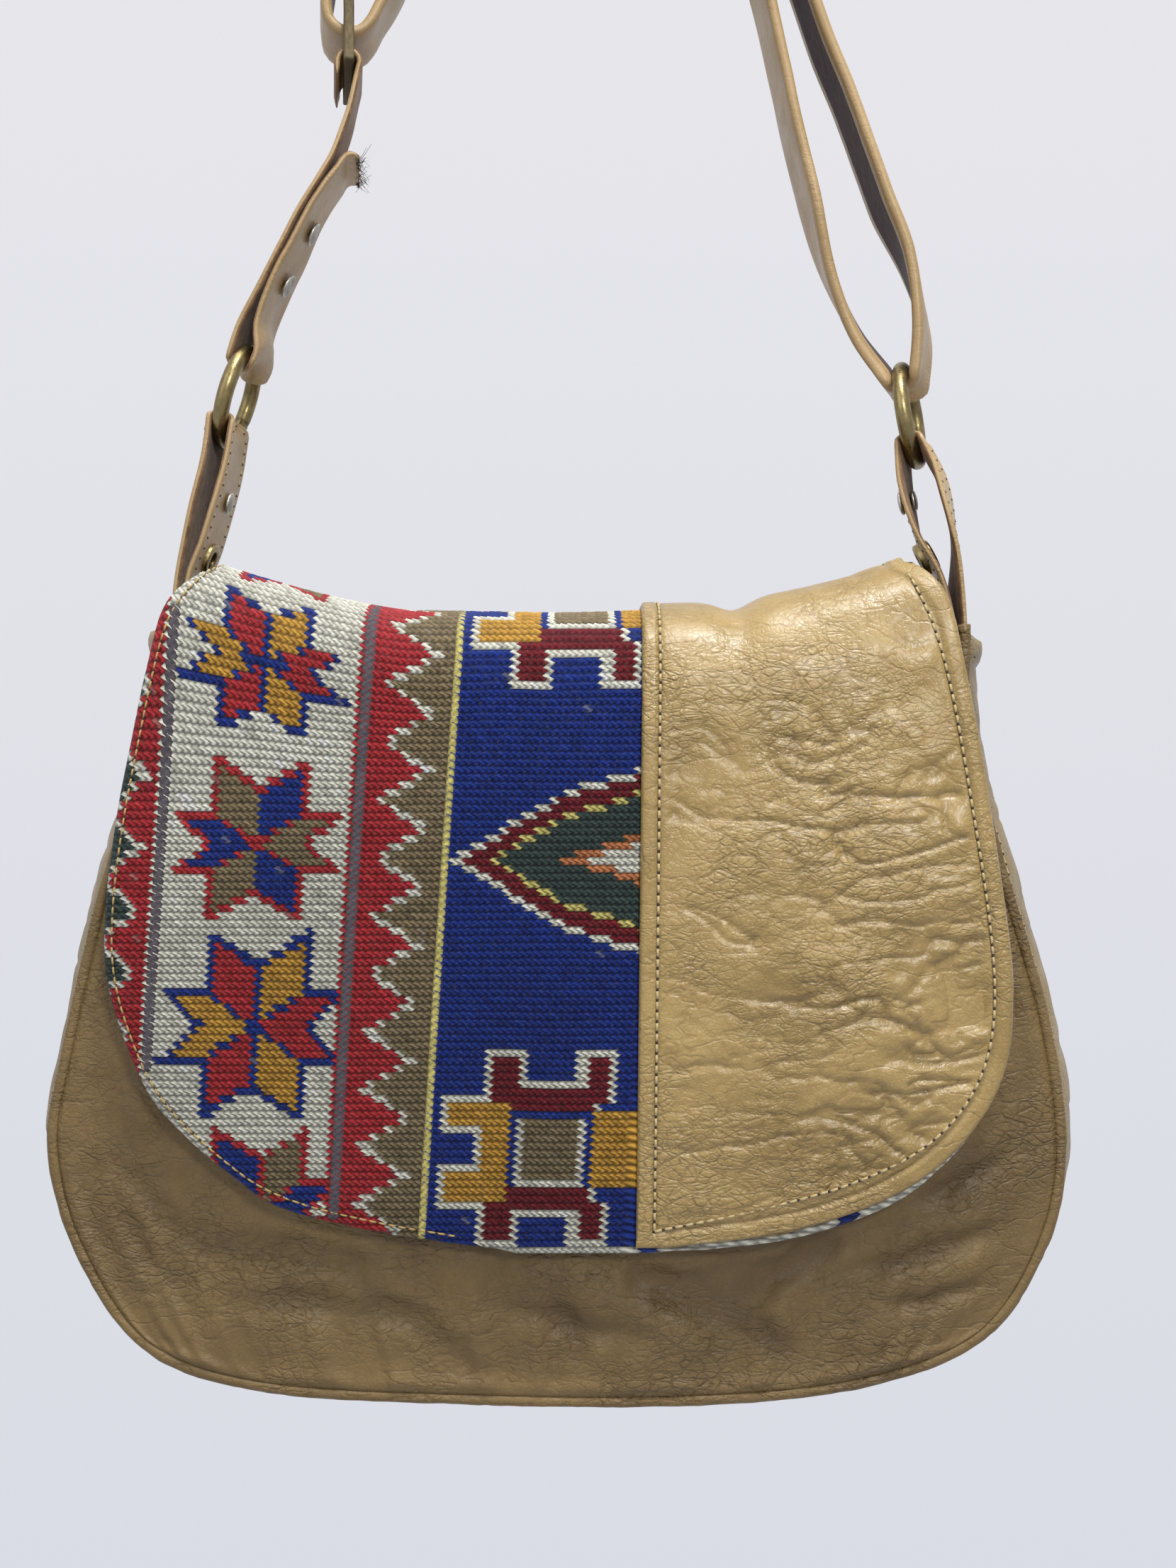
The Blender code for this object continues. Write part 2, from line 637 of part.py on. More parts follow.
def ridged_sheet(outer, inner, fine_runs, coarse_runs):
    """Points and faces of a sheet whose outer side has more rows than its inner side."""
    count = len(outer[0])
    points = [p for row in outer for p in row] + [p for row in inner for p in row]
    below = len(outer) * count
    faces = []
    for start, rows in ((0, len(outer)), (below, len(inner))):
        for r in range(rows - 1):
            for c in range(count - 1):
                a = start + r * count + c
                faces += [(a, a + 1, a + count + 1), (a, a + count + 1, a + count)]
    for c in range(count - 1):
        for top, low in ((0, below), ((len(outer) - 1) * count, below + (len(inner) - 1) * count)):
            faces.append((top + c, top + c + 1, low + c + 1, low + c))
    for r in range(len(coarse_runs) - 1):
        first = fine_runs.index(coarse_runs[r])
        last = fine_runs.index(coarse_runs[r + 1])
        for c in (0, count - 1):
            upper = [k * count + c for k in range(first, last + 1)]
            faces.append((*upper, below + (r + 1) * count + c, below + r * count + c))
    return points, faces


KILIM_BANDS = ("dark_green", "madder", "charcoal", "ivory", "star", "ivory", "charcoal", "madder",
               "khaki", "straw", "indigo", "maroon", "indigo", "indigo")
KILIM_WOOLS = ("dark_green", "madder", "charcoal", "ivory", "indigo", "khaki", "straw", "maroon")


def kilim_slots(fine, rows):
    """Wool of each face: by band on the outer side, one plain wool on the rest."""
    slots = []
    for run, *_ in fine[:-1]:
        for band in KILIM_BANDS:
            wool = band
            if band == "star":
                wool = "indigo" if int(run / STAR_PITCH) % 2 else "madder"
            slots += [KILIM_WOOLS.index(wool)] * 2
    count = len(KILIM_BANDS)
    plain = KILIM_WOOLS.index("khaki")
    return slots + [plain] * (2 * count * (len(rows) - 1) + 2 * count + 2 * (len(rows) - 1))


class Ring:
    """Where a round ring hangs: its centre, the way up in its plane, its own axis and its turn."""

    def __init__(self, centre, lean, yaw):
        self.centre = Vector(centre)
        self.up = Vector((sin(lean), cos(lean)))
        self.side = Vector((cos(lean), -sin(lean)))
        self.yaw = yaw
        self.pivot = Vector((self.centre.x, STRAP_Y, self.centre.y))

    def fold(self, way, thickness):
        """Middle line of leather folded over the wire inside the ring, from its left to its right."""
        wire = self.centre + self.up * way * RING_RADIUS
        reach = RING_WIRE + GAP + thickness / 2
        return [wire - self.side * reach * cos(pi * k / FOLD_STEPS)
                - self.up * way * reach * sin(pi * k / FOLD_STEPS) for k in range(FOLD_STEPS + 1)]

    def cup(self, point, way):
        """Curve a straight strap across its width, so that its fold follows the round wire."""
        flat = Vector((point.x, point.z)) - self.centre
        height = flat.dot(self.up) * way
        if height < 0.0 or height > RING_RADIUS + CUP_FADE:
            return point
        angle = (point.y - STRAP_Y) / RING_RADIUS
        if height <= RING_RADIUS:
            across, rise = height * sin(angle), height * cos(angle)
        else:
            share = 1.0 - ease((height - RING_RADIUS) / CUP_FADE)
            across = (point.y - STRAP_Y) * (1 - share) + RING_RADIUS * sin(angle) * share
            rise = height - share * RING_RADIUS * (1 - cos(angle))
        moved = self.centre + self.side * flat.dot(self.side) + self.up * way * rise
        return Vector((moved.x, STRAP_Y + across, moved.y))


def turned(point, middle, yaw):
    """Turn a point about an upright line, less and less away from its middle."""
    share = 1.0 - ease((abs(point.z - middle.y) - TWIST_HOLD) / TWIST_FADE)
    turn = Matrix.Rotation(yaw * share, 2)
    flat = turn @ Vector((point.x - middle.x, point.y - STRAP_Y))
    return Vector((middle.x + flat.x, STRAP_Y + flat.y, point.z))


LEFT = Ring(RING_LEFT, RING_LEFT_LEAN, RING_LEFT_YAW)
RIGHT = Ring(RING_RIGHT, RING_RIGHT_LEAN, RING_RIGHT_YAW)
SLIDER_MIDDLE = Vector((SLIDER_X, SLIDER_FOOT + SLIDER_BAR / 2))


def strap(name, path, thickness, bend, made, parent, closed=False):
    """A flat strap on edge to the front along a line in the front view, then bent into place."""
    rings = []
    last = len(path) - 1
    for index, point in enumerate(path):
        ahead = path[(index + 1) % len(path)] if closed else path[min(index + 1, last)]
        behind = path[index - 1] if closed or index else path[0]
        run = (ahead - behind).normalized()
        out = Vector((run.y, -run.x)) * thickness / 2
        across = [STRAP_Y - STRAP_WIDTH / 2 + STRAP_WIDTH * k / WIDTH_STEPS for k in range(WIDTH_STEPS + 1)]
        ring = [Vector((point.x + out.x, y, point.y + out.y)) for y in across]
        ring += [Vector((point.x - out.x, y, point.y - out.y)) for y in across[::-1]]
        rings.append([bend(p) for p in ring])
    return body(name, *loft(rings, closed), made, parent)


def long_strap(made, parent):
    """The doubled strap: a closed loop from the slider over the crown to the right ring."""
    hook = Vector((CROWN_X, CROWN_Z - CROWN_RADIUS))
    near = CROWN_RADIUS + STRAP_LEATHER / 2
    far = near + STRAP_LEATHER + GAP

    def crown(radius, start, end):
        return [hook + Vector((cos(radians(a)), sin(radians(a)))) * radius
                for a in (start, (3 * start + end) / 4, (start + end) / 2, (start + 3 * end) / 4, end)]

    route = [*INNER_UP, *crown(near, 162, 18), *INNER_DOWN]
    fold = RIGHT.fold(1, STRAP_LEATHER)
    route_back = [*OUTER_UP, *crown(far, 18, 162), *OUTER_DOWN]
    up = smooth_path(route + [fold[0]], 2)
    down = smooth_path([fold[-1]] + route_back + [INNER_UP[0]], 2)

    def bend(point):
        if point.x > RIGHT_RUN:
            return turned(RIGHT.cup(point, 1), RIGHT.centre, RIGHT.yaw)
        return turned(point, SLIDER_MIDDLE, SLIDER_YAW)

    return strap("long_strap", up + fold[1:-1] + down[:-1], STRAP_LEATHER, bend, made, parent, True)


def leaf_spread(z):
    """Distance between the two leaves of the short strap at a height."""
    return interpolate([(apart, -height) for apart, height in LEAF_SPREAD], -z)


def over_slider():
    """Middle line of the short strap round the slider's lowest bar."""
    wrap = sqrt(2) * SLIDER_BAR / 2 + GAP + TAB_LEATHER / 2
    return [SLIDER_MIDDLE + Vector((cos(pi * k / 5), sin(pi * k / 5))) * wrap for k in range(6)]


def long_leaf():
    """Middle line of the short strap's long leaf, from the left ring to the slider."""
    return smooth_path([LEFT.fold(1, TAB_LEATHER)[0], *LONG_LEAF, over_slider()[0]], 3)


def bend_short(point):
    return turned(LEFT.cup(point, 1), SLIDER_MIDDLE, SLIDER_YAW)


def short_strap(made, parent):
    """The strap folded round the left ring, with one leaf up to the slider."""
    over = over_slider()
    fold = LEFT.fold(1, TAB_LEATHER)
    leaf = long_leaf()
    back = []
    for point, far in zip(leaf, offset_line(leaf, 1.0)):
        if fold[0].y + LEAF_START < point.y < FRAYED_END:
            back.append(point + (far - point) * leaf_spread(point.y))
    route = back[::-1] + fold[::-1] + leaf[1:] + over[1:] \
        + [over[-1] - Vector((0.0, SHORT_STRAP_OVERHANG))]

    return strap("short_strap", route, TAB_LEATHER, bend_short, made, parent)


def tab_lines(place, outer, inner, foot_x):
    """Middle lines of a tab's outer leaf, its fold and its inner leaf."""
    side = -1 if foot_x < 0 else 1
    step = (TAB_LEATHER + GAP) / 2 * side
    fold = place.fold(-1, TAB_LEATHER)[::-side]
    up = smooth_path([(foot_x + step, TAB_FOOT), (foot_x + step, HEM_MOUTH), *outer, fold[0]], 2)
    down = smooth_path([fold[-1], *inner, (foot_x - step, HEM_MOUTH), (foot_x - step, TAB_FOOT)], 2)
    return up, fold[1:-1], down


def bend_tab(place):
    return lambda point: turned(place.cup(point, -1), place.centre, place.yaw)


def tab(name, place, lines, made, parent):
    """A folded tab: one leaf up from the hem, through the ring and back down to the hem."""
    up, middle, down = lines
    return strap(name, up + middle + down, TAB_LEATHER, bend_tab(place), made, parent)


def ring(name, place, made, parent):
    """A round ring of brass wire."""
    side = Vector((place.side.x, 0.0, place.side.y))
    rings = []
    for k in range(RING_STEPS):
        angle = 2 * pi * k / RING_STEPS
        out = Vector((place.up.x * cos(angle), sin(angle), place.up.y * cos(angle)))
        rings.append([place.pivot + out * (RING_RADIUS + RING_WIRE * cos(2 * pi * w / WIRE_SIDES))
                      + side * RING_WIRE * sin(2 * pi * w / WIRE_SIDES) for w in range(WIRE_SIDES)])
    rings = [[turned(p, place.centre, place.yaw) for p in each] for each in rings]
    return body(name, *loft(rings, closed=True), made, parent, place.pivot)


def slider(made, parent):
    """Rectangular slide of square bar with two windows, cut from one plate."""
    half = STRAP_WIDTH / 2 + SLIDER_SIDE_ROOM
    heights = [SLIDER_FOOT]
    for step in (SLIDER_BAR, SLIDER_WINDOW, SLIDER_BAR, SLIDER_UPPER_WINDOW, SLIDER_BAR):
        heights.append(heights[-1] + step)
    widths = (-half - SLIDER_BAR, -half, half, half + SLIDER_BAR)
    work = bmesh.new()
    grid = [[work.verts.new((SLIDER_X - SLIDER_BAR / 2, STRAP_Y + y, z)) for y in widths] for z in heights]
    for row in range(5):
        for column in range(3):
            if column != 1 or row % 2 == 0:
                work.faces.new((grid[row][column], grid[row][column + 1],
                                grid[row + 1][column + 1], grid[row + 1][column]))
    plate = bmesh.ops.extrude_face_region(work, geom=work.faces[:])
    moved = [v for v in plate["geom"] if isinstance(v, bmesh.types.BMVert)]
    bmesh.ops.translate(work, verts=moved, vec=(SLIDER_BAR, 0.0, 0.0))
    points = [turned(v.co, SLIDER_MIDDLE, SLIDER_YAW) for v in work.verts]
    work.verts.index_update()
    faces = [tuple(v.index for v in face.verts) for face in work.faces]
    work.free()
    return body("slider", points, faces, made, parent, smooth=False)


def lathe(profile, middle, along, sides, closed=False):
    """Points and faces of a profile of (radius, height) turned about a line."""
    across = along.orthogonal().normalized()
    other = along.cross(across)
    rings = []
    for radius, height in profile:
        rings.append([middle + along * height + (across * cos(2 * pi * k / sides)
                      + other * sin(2 * pi * k / sides)) * radius for k in range(sides)])
    return loft(rings, closed)


def cut(piece, middle, along, radius, reach):
    """Drill a round hole for a rivet or eyelet."""
    points, faces = lathe(((radius, -reach), (radius, reach)), middle, along, 12)
    cutter = body(piece.name + "_cutter_" + str(len(piece.modifiers)), points, faces,
                  piece.data.materials[0], piece.parent, smooth=False)
    cutter.hide_render = True
    cutter.display_type = "WIRE"
    hole = piece.modifiers.new("hole", "BOOLEAN")
    hole.operation = "DIFFERENCE"
    hole.solver = "EXACT"
    hole.object = cutter


def on_line(line, z):
    """Where a line in the front view crosses a height, and the way to its right hand."""
    for a, b in zip(line, line[1:]):
        if min(a.y, b.y) <= z <= max(a.y, b.y):
            run = (b - a).normalized()
            return a.lerp(b, (z - a.y) / (b.y - a.y)), Vector((run.y, -run.x))
    raise ValueError("the line does not reach that height")


def through(line, z, before, after, bend):
    """Two bent points on a line through leather, so far before and after its middle line."""
    point, out = on_line(line, z)
    ends = [point - out * before, point + out * after]
    return [bend(Vector((p.x, STRAP_Y, p.y))) for p in ends]


def rivet(name, ends, piece, made, parent):
    """A domed rivet with a head on each face, and its hole."""
    low, high = ends
    along = (high - low).normalized()
    middle = (low + high) / 2
    seat = (high - low).length / 2 + SEAT_ROOM
    profile = []
    for way, radius in ((1, RIVET_RADIUS), (-1, RIVET_RADIUS * 0.9)):
        head = [(radius * 0.55, seat + RIVET_HEAD), (radius, seat + RIVET_HEAD * 0.35),
                (radius, seat), (RIVET_POST, seat)]
        profile += [(r, h * way) for r, h in (head if way > 0 else head[::-1])]
    cut(piece, middle, along, RIVET_POST + GAP, seat * DRILL_REACH)
    return body(name, *lathe(profile, middle, along, RIVET_SIDES), made, parent)


def eyelet(name, ends, piece, made, parent):
    """A flanged eyelet set in one leaf, and its hole."""
    low, high = ends
    along = (high - low).normalized()
    middle = (low + high) / 2
    seat = (high - low).length / 2 + SEAT_ROOM
    barrel = EYELET_HOLE + EYELET_WALL
    rim = seat + EYELET_WALL
    profile = ((EYELET_HOLE, rim), (EYELET_RADIUS, rim), (EYELET_RADIUS, seat), (barrel, seat),
               (barrel, -seat), (EYELET_RADIUS, -seat), (EYELET_RADIUS, -rim), (EYELET_HOLE, -rim))
    cut(piece, middle, along, barrel + GAP, seat * DRILL_REACH)
    return body(name, *lathe(profile, middle, along, RIVET_SIDES, True), made, parent)


def snap(metal, bag, flap):
    """Two halves of a snap: the socket on the front panel and the stud under the flap."""
    spot = panel_grid(FRONT_TOP, FRONT_SAG)[SNAP_ROW][FOOT_STEPS // 2]
    face = -FRONT_CROWN * swell_at(0.5, SNAP_ROW / SIDE_STEPS) - GAP
    front_rows = [run for run in flap_rows() if at_length(FLAP_PATH, FLAP_RUN, run).x < 0.0]
    under = max(on_flap(spot.x, run, 0.0).y for run in front_rows
                if abs(on_flap(spot.x, run, 0.0).z - spot.y) < SNAP_REACH) + GAP
    middle = Vector((spot.x, 0.0, spot.y))
    forward = Vector((0.0, 1.0, 0.0))
    socket = ((SNAP_RADIUS, face - SOCKET_HEIGHT), (SNAP_RADIUS, face))
    stud = ((SNAP_RADIUS, under), (SNAP_RADIUS, face - SOCKET_HEIGHT - GAP))
    body("snap_socket", *lathe(socket, middle, forward, 12), metal, bag)
    body("snap_stud", *lathe(stud, middle, forward, 12), metal, flap, FLAP_HINGE)


def build():
    """The whole bag, under an empty that puts the hook's point at the origin."""
    for old in list(bpy.data.objects):
        bpy.data.objects.remove(old, do_unlink=True)
    tan = material("tan_leather", (0.45, 0.29, 0.13), 0.48)
    strap_tan = material("strap_leather", (0.42, 0.29, 0.16), 0.5)
    raw = material("raw_leather", (0.40, 0.27, 0.15), 0.7)
    cloth = material("lining_cloth", (0.16, 0.11, 0.07), 0.9)
    brass = material("antique_brass", (0.30, 0.24, 0.15), 0.35, 1.0)
    colours = {"dark_green": (0.03, 0.07, 0.06), "madder": (0.38, 0.03, 0.03),
               "charcoal": (0.07, 0.07, 0.08), "ivory": (0.66, 0.66, 0.58),
               "indigo": (0.02, 0.05, 0.19), "khaki": (0.25, 0.20, 0.14),
               "straw": (0.60, 0.52, 0.22), "maroon": (0.18, 0.01, 0.02)}
    wools = [material("wool_" + wool, colours[wool], 0.95) for wool in KILIM_WOOLS]

    bag = bpy.data.objects.new("bag_frame", None)
    bag.location = (-CROWN_X, -STRAP_Y, -CROWN_Z)
    bpy.context.scene.collection.objects.link(bag)
    flap = bpy.data.objects.new("flap_hinge", None)
    flap.parent = bag
    flap.location = FLAP_HINGE
    bpy.context.scene.collection.objects.link(flap)

    panel("front_panel", FRONT_TOP, FRONT_SAG, True, tan, bag)
    panel("back_panel", BACK_TOP, 0.0, False, tan, bag)
    gusset(tan, bag)
    piping("front_piping", False, tan, bag)
    piping("back_piping", True, tan, bag)
    lining(cloth, bag)

    backing(cloth, flap)
    kilim(wools, flap)
    overlay(tan, flap)
    snap(brass, bag, flap)

    long_strap(strap_tan, bag)
    short = short_strap(raw, bag)
    for index, height in enumerate(RIVET_HEIGHTS):
        ends = through(long_leaf(), height, TAB_LEATHER / 2, leaf_spread(height) + TAB_LEATHER / 2,
                       bend_short)
        rivet("strap_rivet_" + str(index + 1), ends, short, brass, bag)
    slider(brass, bag)
    ring("ring_left", LEFT, brass, bag)
    ring("ring_right", RIGHT, brass, bag)

    sides = (("left", LEFT, TAB_LEFT_OUTER, TAB_LEFT_INNER, tab_foot(-1)),
             ("right", RIGHT, TAB_RIGHT_OUTER, TAB_RIGHT_INNER, tab_foot(1)))
    for side, place, outer, inner, foot_x in sides:
        lines = tab_lines(place, outer, inner, foot_x)
        leather = tab("tab_" + side, place, lines, raw, bag)
        half = TAB_LEATHER / 2
        rivet("tab_rivet_" + side, through(lines[2], TAB_FOOT + TAB_RIVET_ABOVE_FOOT, half, half,
                                           bend_tab(place)), leather, brass, bag)
        eyelet("tab_eyelet_" + side, through(lines[2], TAB_FOOT + TAB_EYELET_ABOVE_FOOT, half, half,
                                             bend_tab(place)), leather, brass, bag)


build()
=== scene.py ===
"""Looks of the kilim saddle bag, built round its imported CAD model.

Shapes are laid out in bag coordinates (x 0 at the middle, y 0 at the front seam, z 0 at the foot)
and moved by ORIGIN into the frame, whose origin is the point that a hook holds.
"""
from math import cos, pi, radians, sin, sqrt

import bmesh
import bpy
import numpy as np
from mathutils import Matrix, Vector

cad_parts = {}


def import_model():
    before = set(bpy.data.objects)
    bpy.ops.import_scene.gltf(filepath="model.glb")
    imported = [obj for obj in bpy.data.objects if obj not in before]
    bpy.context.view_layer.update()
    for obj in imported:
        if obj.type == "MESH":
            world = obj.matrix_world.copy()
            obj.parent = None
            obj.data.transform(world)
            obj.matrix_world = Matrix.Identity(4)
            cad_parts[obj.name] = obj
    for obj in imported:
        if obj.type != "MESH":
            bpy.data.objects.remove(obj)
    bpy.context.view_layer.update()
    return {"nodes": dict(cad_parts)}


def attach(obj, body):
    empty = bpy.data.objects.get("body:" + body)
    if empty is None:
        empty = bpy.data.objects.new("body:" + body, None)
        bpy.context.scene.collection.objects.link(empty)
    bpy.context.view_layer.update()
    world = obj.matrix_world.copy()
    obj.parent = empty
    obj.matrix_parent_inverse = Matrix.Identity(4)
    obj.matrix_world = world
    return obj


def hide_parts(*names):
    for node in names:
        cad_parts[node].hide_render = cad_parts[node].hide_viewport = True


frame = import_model()
RANDOM = np.random.default_rng(7)

ORIGIN = Vector((-0.004, -0.038, -0.690))
GAP = 0.0003
LEATHER = 0.0018
TAB_LEATHER = 0.0020
STRAP_LEATHER = 0.0036
SEAM_STITCH = 0.0034        # lengths of a stitch and the gap after it
FLAP_STITCH = 0.0032
GOLD_STITCH = 0.0030
TAB_STITCH = 0.0036
BORDER_LINE = 0.0055        # how far rows of stitches lie from the leather's edge
GOLD_LINE = 0.0026
TAB_LINE = 0.0032
HOLE_SHARE = 0.075          # and as a share of the gusset's depth
RIVET_HEAD = 0.0040
EYELET_HOLE = 0.0030
EYELET_RIM = 0.0056
SEAT_ROOM = 0.0009

SEAM = ((-0.1215, 0.250), (-0.126, 0.217), (-0.142, 0.166), (-0.154, 0.114), (-0.158, 0.086),
        (-0.150, 0.055), (-0.129, 0.0245), (-0.093, 0.0115), (-0.030, 0.0075), (0.040, 0.007),
        (0.095, 0.0125), (0.132, 0.027), (0.151, 0.054), (0.1575, 0.084), (0.1525, 0.125),
        (0.138, 0.176), (0.128, 0.217), (0.1275, 0.250))
LEFT_CORNER = 6
RIGHT_CORNER = 11
SEAM_STEPS = 40
DEPTH_FOOT = 0.080
DEPTH_TOP = 0.072
BODY_HEIGHT = 0.250
GUSSET_BULGE = 0.012
PIPING_RADIUS = 0.0022
FRONT_TOP = 0.243
FRONT_SAG = 0.007
BACK_TOP = 0.2395
LINING_INSET = 0.0065
LINING_FLOOR = 0.016
LINING_TOP = 0.228

FLAP_SECTION = ((0.0700, 0.2398), (0.0694, 0.2450), (0.0640, 0.2495), (0.0500, 0.2515),
                (0.0350, 0.2518), (0.0180, 0.2515), (0.0045, 0.2494), (-0.0044, 0.2440),
                (-0.0086, 0.2350), (-0.0102, 0.2220), (-0.0116, 0.1900), (-0.0124, 0.1500),
                (-0.0122, 0.1000), (-0.0105, 0.0570))
FLAP_LEFT = ((0.1085, 0.264), (0.1195, 0.251), (0.1253, 0.2315), (0.1296, 0.212), (0.1339, 0.190),
             (0.1371, 0.160), (0.1356, 0.1366), (0.1253, 0.1085), (0.1134, 0.0934),
             (0.0983, 0.0804), (0.0832, 0.0707), (0.0487, 0.0627), (0.0055, 0.0572))
FLAP_RIGHT = ((0.1105, 0.264), (0.1205, 0.2524), (0.1264, 0.2287), (0.1318, 0.200),
              (0.1390, 0.1523), (0.1400, 0.133), (0.1384, 0.1165), (0.1324, 0.0999),
              (0.1216, 0.0854), (0.1050, 0.0735), (0.0810, 0.0640), (0.0573, 0.0593),
              (0.0249, 0.0572))
FLAP_REAR_HALF = 0.1065
CORNER_RAISE = 0.015
RAISE_FOOT = 0.185
RAISE_RUN = 0.072
OVERLAY_EDGE = (0.0270, 0.0240)
OVERLAY_INSET = 0.0018
BACKING_INSET = 0.0012
BACKING = 0.0010
KILIM_INNER = 0.0018
KILIM_FACE = 0.0040
OVERLAY_INNER = 0.0050
OVERLAY_FACE = 0.0067
BAND_LEAN = 0.063

STRAP_Y = 0.038
STRAP_WIDTH = 0.028
RING_RADIUS = 0.0155
RING_WIRE = 0.0026
CUP_FADE = 0.030
TWIST_HOLD = 0.020
TWIST_FADE = 0.055
TAB_FOOT = 0.228
HEM_MOUTH = 0.242
SLIDER = Vector((-0.0712, 0.4377))
SLIDER_YAW = radians(9.0)
SLIDER_BAR = 0.0034


def linear(red, green, blue):
    """A colour given in the 0 to 255 steps of a screen."""
    made = []
    for value in (red, green, blue):
        value /= 255.0
        made.append(value / 12.92 if value <= 0.04045 else ((value + 0.055) / 1.055) ** 2.4)
    return tuple(made)


# Curves and grids

def catmull(points, steps):
    """A smooth curve through the points, as an array."""
    p = np.array([tuple(point) for point in points], float)
    p = np.vstack([2 * p[0] - p[1], p, 2 * p[-1] - p[-2]])
    t = np.linspace(0.0, 1.0, steps, endpoint=False)[:, None]
    parts = [0.5 * (2 * b + (c - a) * t + (2 * a - 5 * b + 4 * c - d) * t ** 2
                    + (3 * b - a - 3 * c + d) * t ** 3)
             for a, b, c, d in zip(p, p[1:], p[2:], p[3:])]
    return np.vstack(parts + [p[-2][None]])


def runs(line):
    return np.concatenate([[0.0], np.cumsum(np.linalg.norm(np.diff(line, axis=0), axis=1))])


def along(line, where):
    """Points of a line at running lengths."""
    run = runs(line)
    return np.stack([np.interp(where, run, line[:, k]) for k in range(line.shape[1])], -1)


def resample(line, step):
    total = runs(line)[-1]
    return along(line, np.linspace(0.0, total, max(int(round(total / step)), 2) + 1))


def side_of(line):
    """Unit vectors to the right hand of a line in the front view."""
    run = np.gradient(line, axis=0)
    right = np.stack([run[:, 1], -run[:, 0]], -1)
    return right / np.linalg.norm(right, axis=1)[:, None]


def ease(t):
    t = np.clip(t, 0.0, 1.0)
    return t * t * (3 - 2 * t)


def noise(x, y, seed):
    """Smooth noise from -1 to 1 on a grid of unit cells."""
    x, y = np.broadcast_arrays(np.asarray(x, float), np.asarray(y, float))
    xi, yi = np.floor(x).astype(np.int64), np.floor(y).astype(np.int64)
    u, v = ease(x - xi), ease(y - yi)

    def corner(i, j):
        n = (i * 374761393 + j * 668265263 + seed * 974634777) & 0xffffffff
        n = ((n ^ (n >> 13)) * 1274126177) & 0xffffffff
        return ((n ^ (n >> 16)) & 0xffff) / 32767.5 - 1.0

    low = corner(xi, yi) * (1 - u) + corner(xi + 1, yi) * u
    high = corner(xi, yi + 1) * (1 - u) + corner(xi + 1, yi + 1) * u
    return low * (1 - v) + high * v


def layered(x, y, seed, layers=3):
    """Noise in layers, each twice as fine and half as strong as the one before."""
    total = 0.0
    for k in range(layers):
        total = total + noise(x * 2 ** k + 17.3 * k, y * 2 ** k - 9.1 * k, seed + k) / 2 ** k
    return total / (2 - 2 ** (1 - layers))


def cracks(x, y, seed, width):
    """1 along wandering lines, falling away from them with a sharp floor, as a crease in leather."""
    return np.exp(-np.abs(layered(x, y, seed)) / width)


def distance(points, line):
    """Distance of many points in a plane to a polyline."""
    best = np.full(len(points), 1e9)
    for a, b in zip(line, line[1:]):
        run = b - a
        t = np.clip(((points - a) @ run) / max(run @ run, 1e-12), 0.0, 1.0)
        best = np.minimum(best, np.linalg.norm(points - a - t[:, None] * run, axis=1))
    return best


def make(name, points, faces, materials, body="root", slots=None):
    """A mesh piece in the frame, riding on a CAD body."""
    mesh = bpy.data.meshes.new(name)
    points = np.asarray(points, float).reshape(-1, 3) + np.array(ORIGIN)
    mesh.from_pydata(points.tolist(), [], [tuple(f) for f in faces])
    for each in materials if isinstance(materials, (list, tuple)) else [materials]:
        mesh.materials.append(each)
    if slots is not None:
        mesh.polygons.foreach_set("material_index", np.asarray(slots, np.int32))
    mesh.shade_smooth()
    piece = bpy.data.objects.new(name, mesh)
    bpy.context.scene.collection.objects.link(piece)
    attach(piece, body)
    return piece


def merged(piece):
    """Join a piece's points that coincide and drop what that leaves without area."""
    work = bmesh.new()
    work.from_mesh(piece.data)
    bmesh.ops.remove_doubles(work, verts=work.verts, dist=2e-6)
    bmesh.ops.dissolve_degenerate(work, edges=work.edges, dist=1e-6)
    bmesh.ops.delete(work, geom=[v for v in work.verts if not v.link_faces], context="VERTS")
    bmesh.ops.recalc_face_normals(work, faces=work.faces)
    work.to_mesh(piece.data)
    work.free()


def flip_out(piece):
    """Turn a closed piece's faces outwards."""
    work = bmesh.new()
    work.from_mesh(piece.data)
    bmesh.ops.recalc_face_normals(work, faces=work.faces)
    if work.calc_volume(signed=True) < 0:
        bmesh.ops.reverse_faces(work, faces=work.faces)
    work.to_mesh(piece.data)
    work.free()


def store_wool_and_shade(piece, colours, domain):
    """Store the yarn's colour, with any painted shade, with each point or corner of a piece."""
    rgba = np.hstack([colours, np.ones((len(colours), 1))]).astype(np.float32)
    piece.data.color_attributes.new("wool", "FLOAT_COLOR", domain).data.foreach_set("color", rgba.ravel())


def paint_shade(piece, fold):
    """Store painted shade with each point of a piece's first grid, such as how deep in a crease it lies; it
    darkens the leather's colour.
    """
    values = np.zeros(len(piece.data.vertices), np.float32)
    values[:fold.size] = np.clip(fold, 0.0, 1.0).ravel()
    piece.data.attributes.new("fold", "FLOAT", "POINT").data.foreach_set("value", values)


def quads(rows, cols, start=0, wrap=False):
    """Faces of a grid of points, as an array."""
    index = start + np.arange(rows * cols).reshape(rows, cols)
    if wrap:
        index = np.hstack([index, index[:, :1]])
    return np.stack([index[:-1, :-1].ravel(), index[:-1, 1:].ravel(),
                     index[1:, 1:].ravel(), index[1:, :-1].ravel()], -1)


def border(rows, cols, start):
    """Point numbers round the edge of a grid."""
    index = start + np.arange(rows * cols).reshape(rows, cols)
    return np.concatenate([index[0, :-1], index[:-1, -1], index[-1, :0:-1], index[:0:-1, 0]])


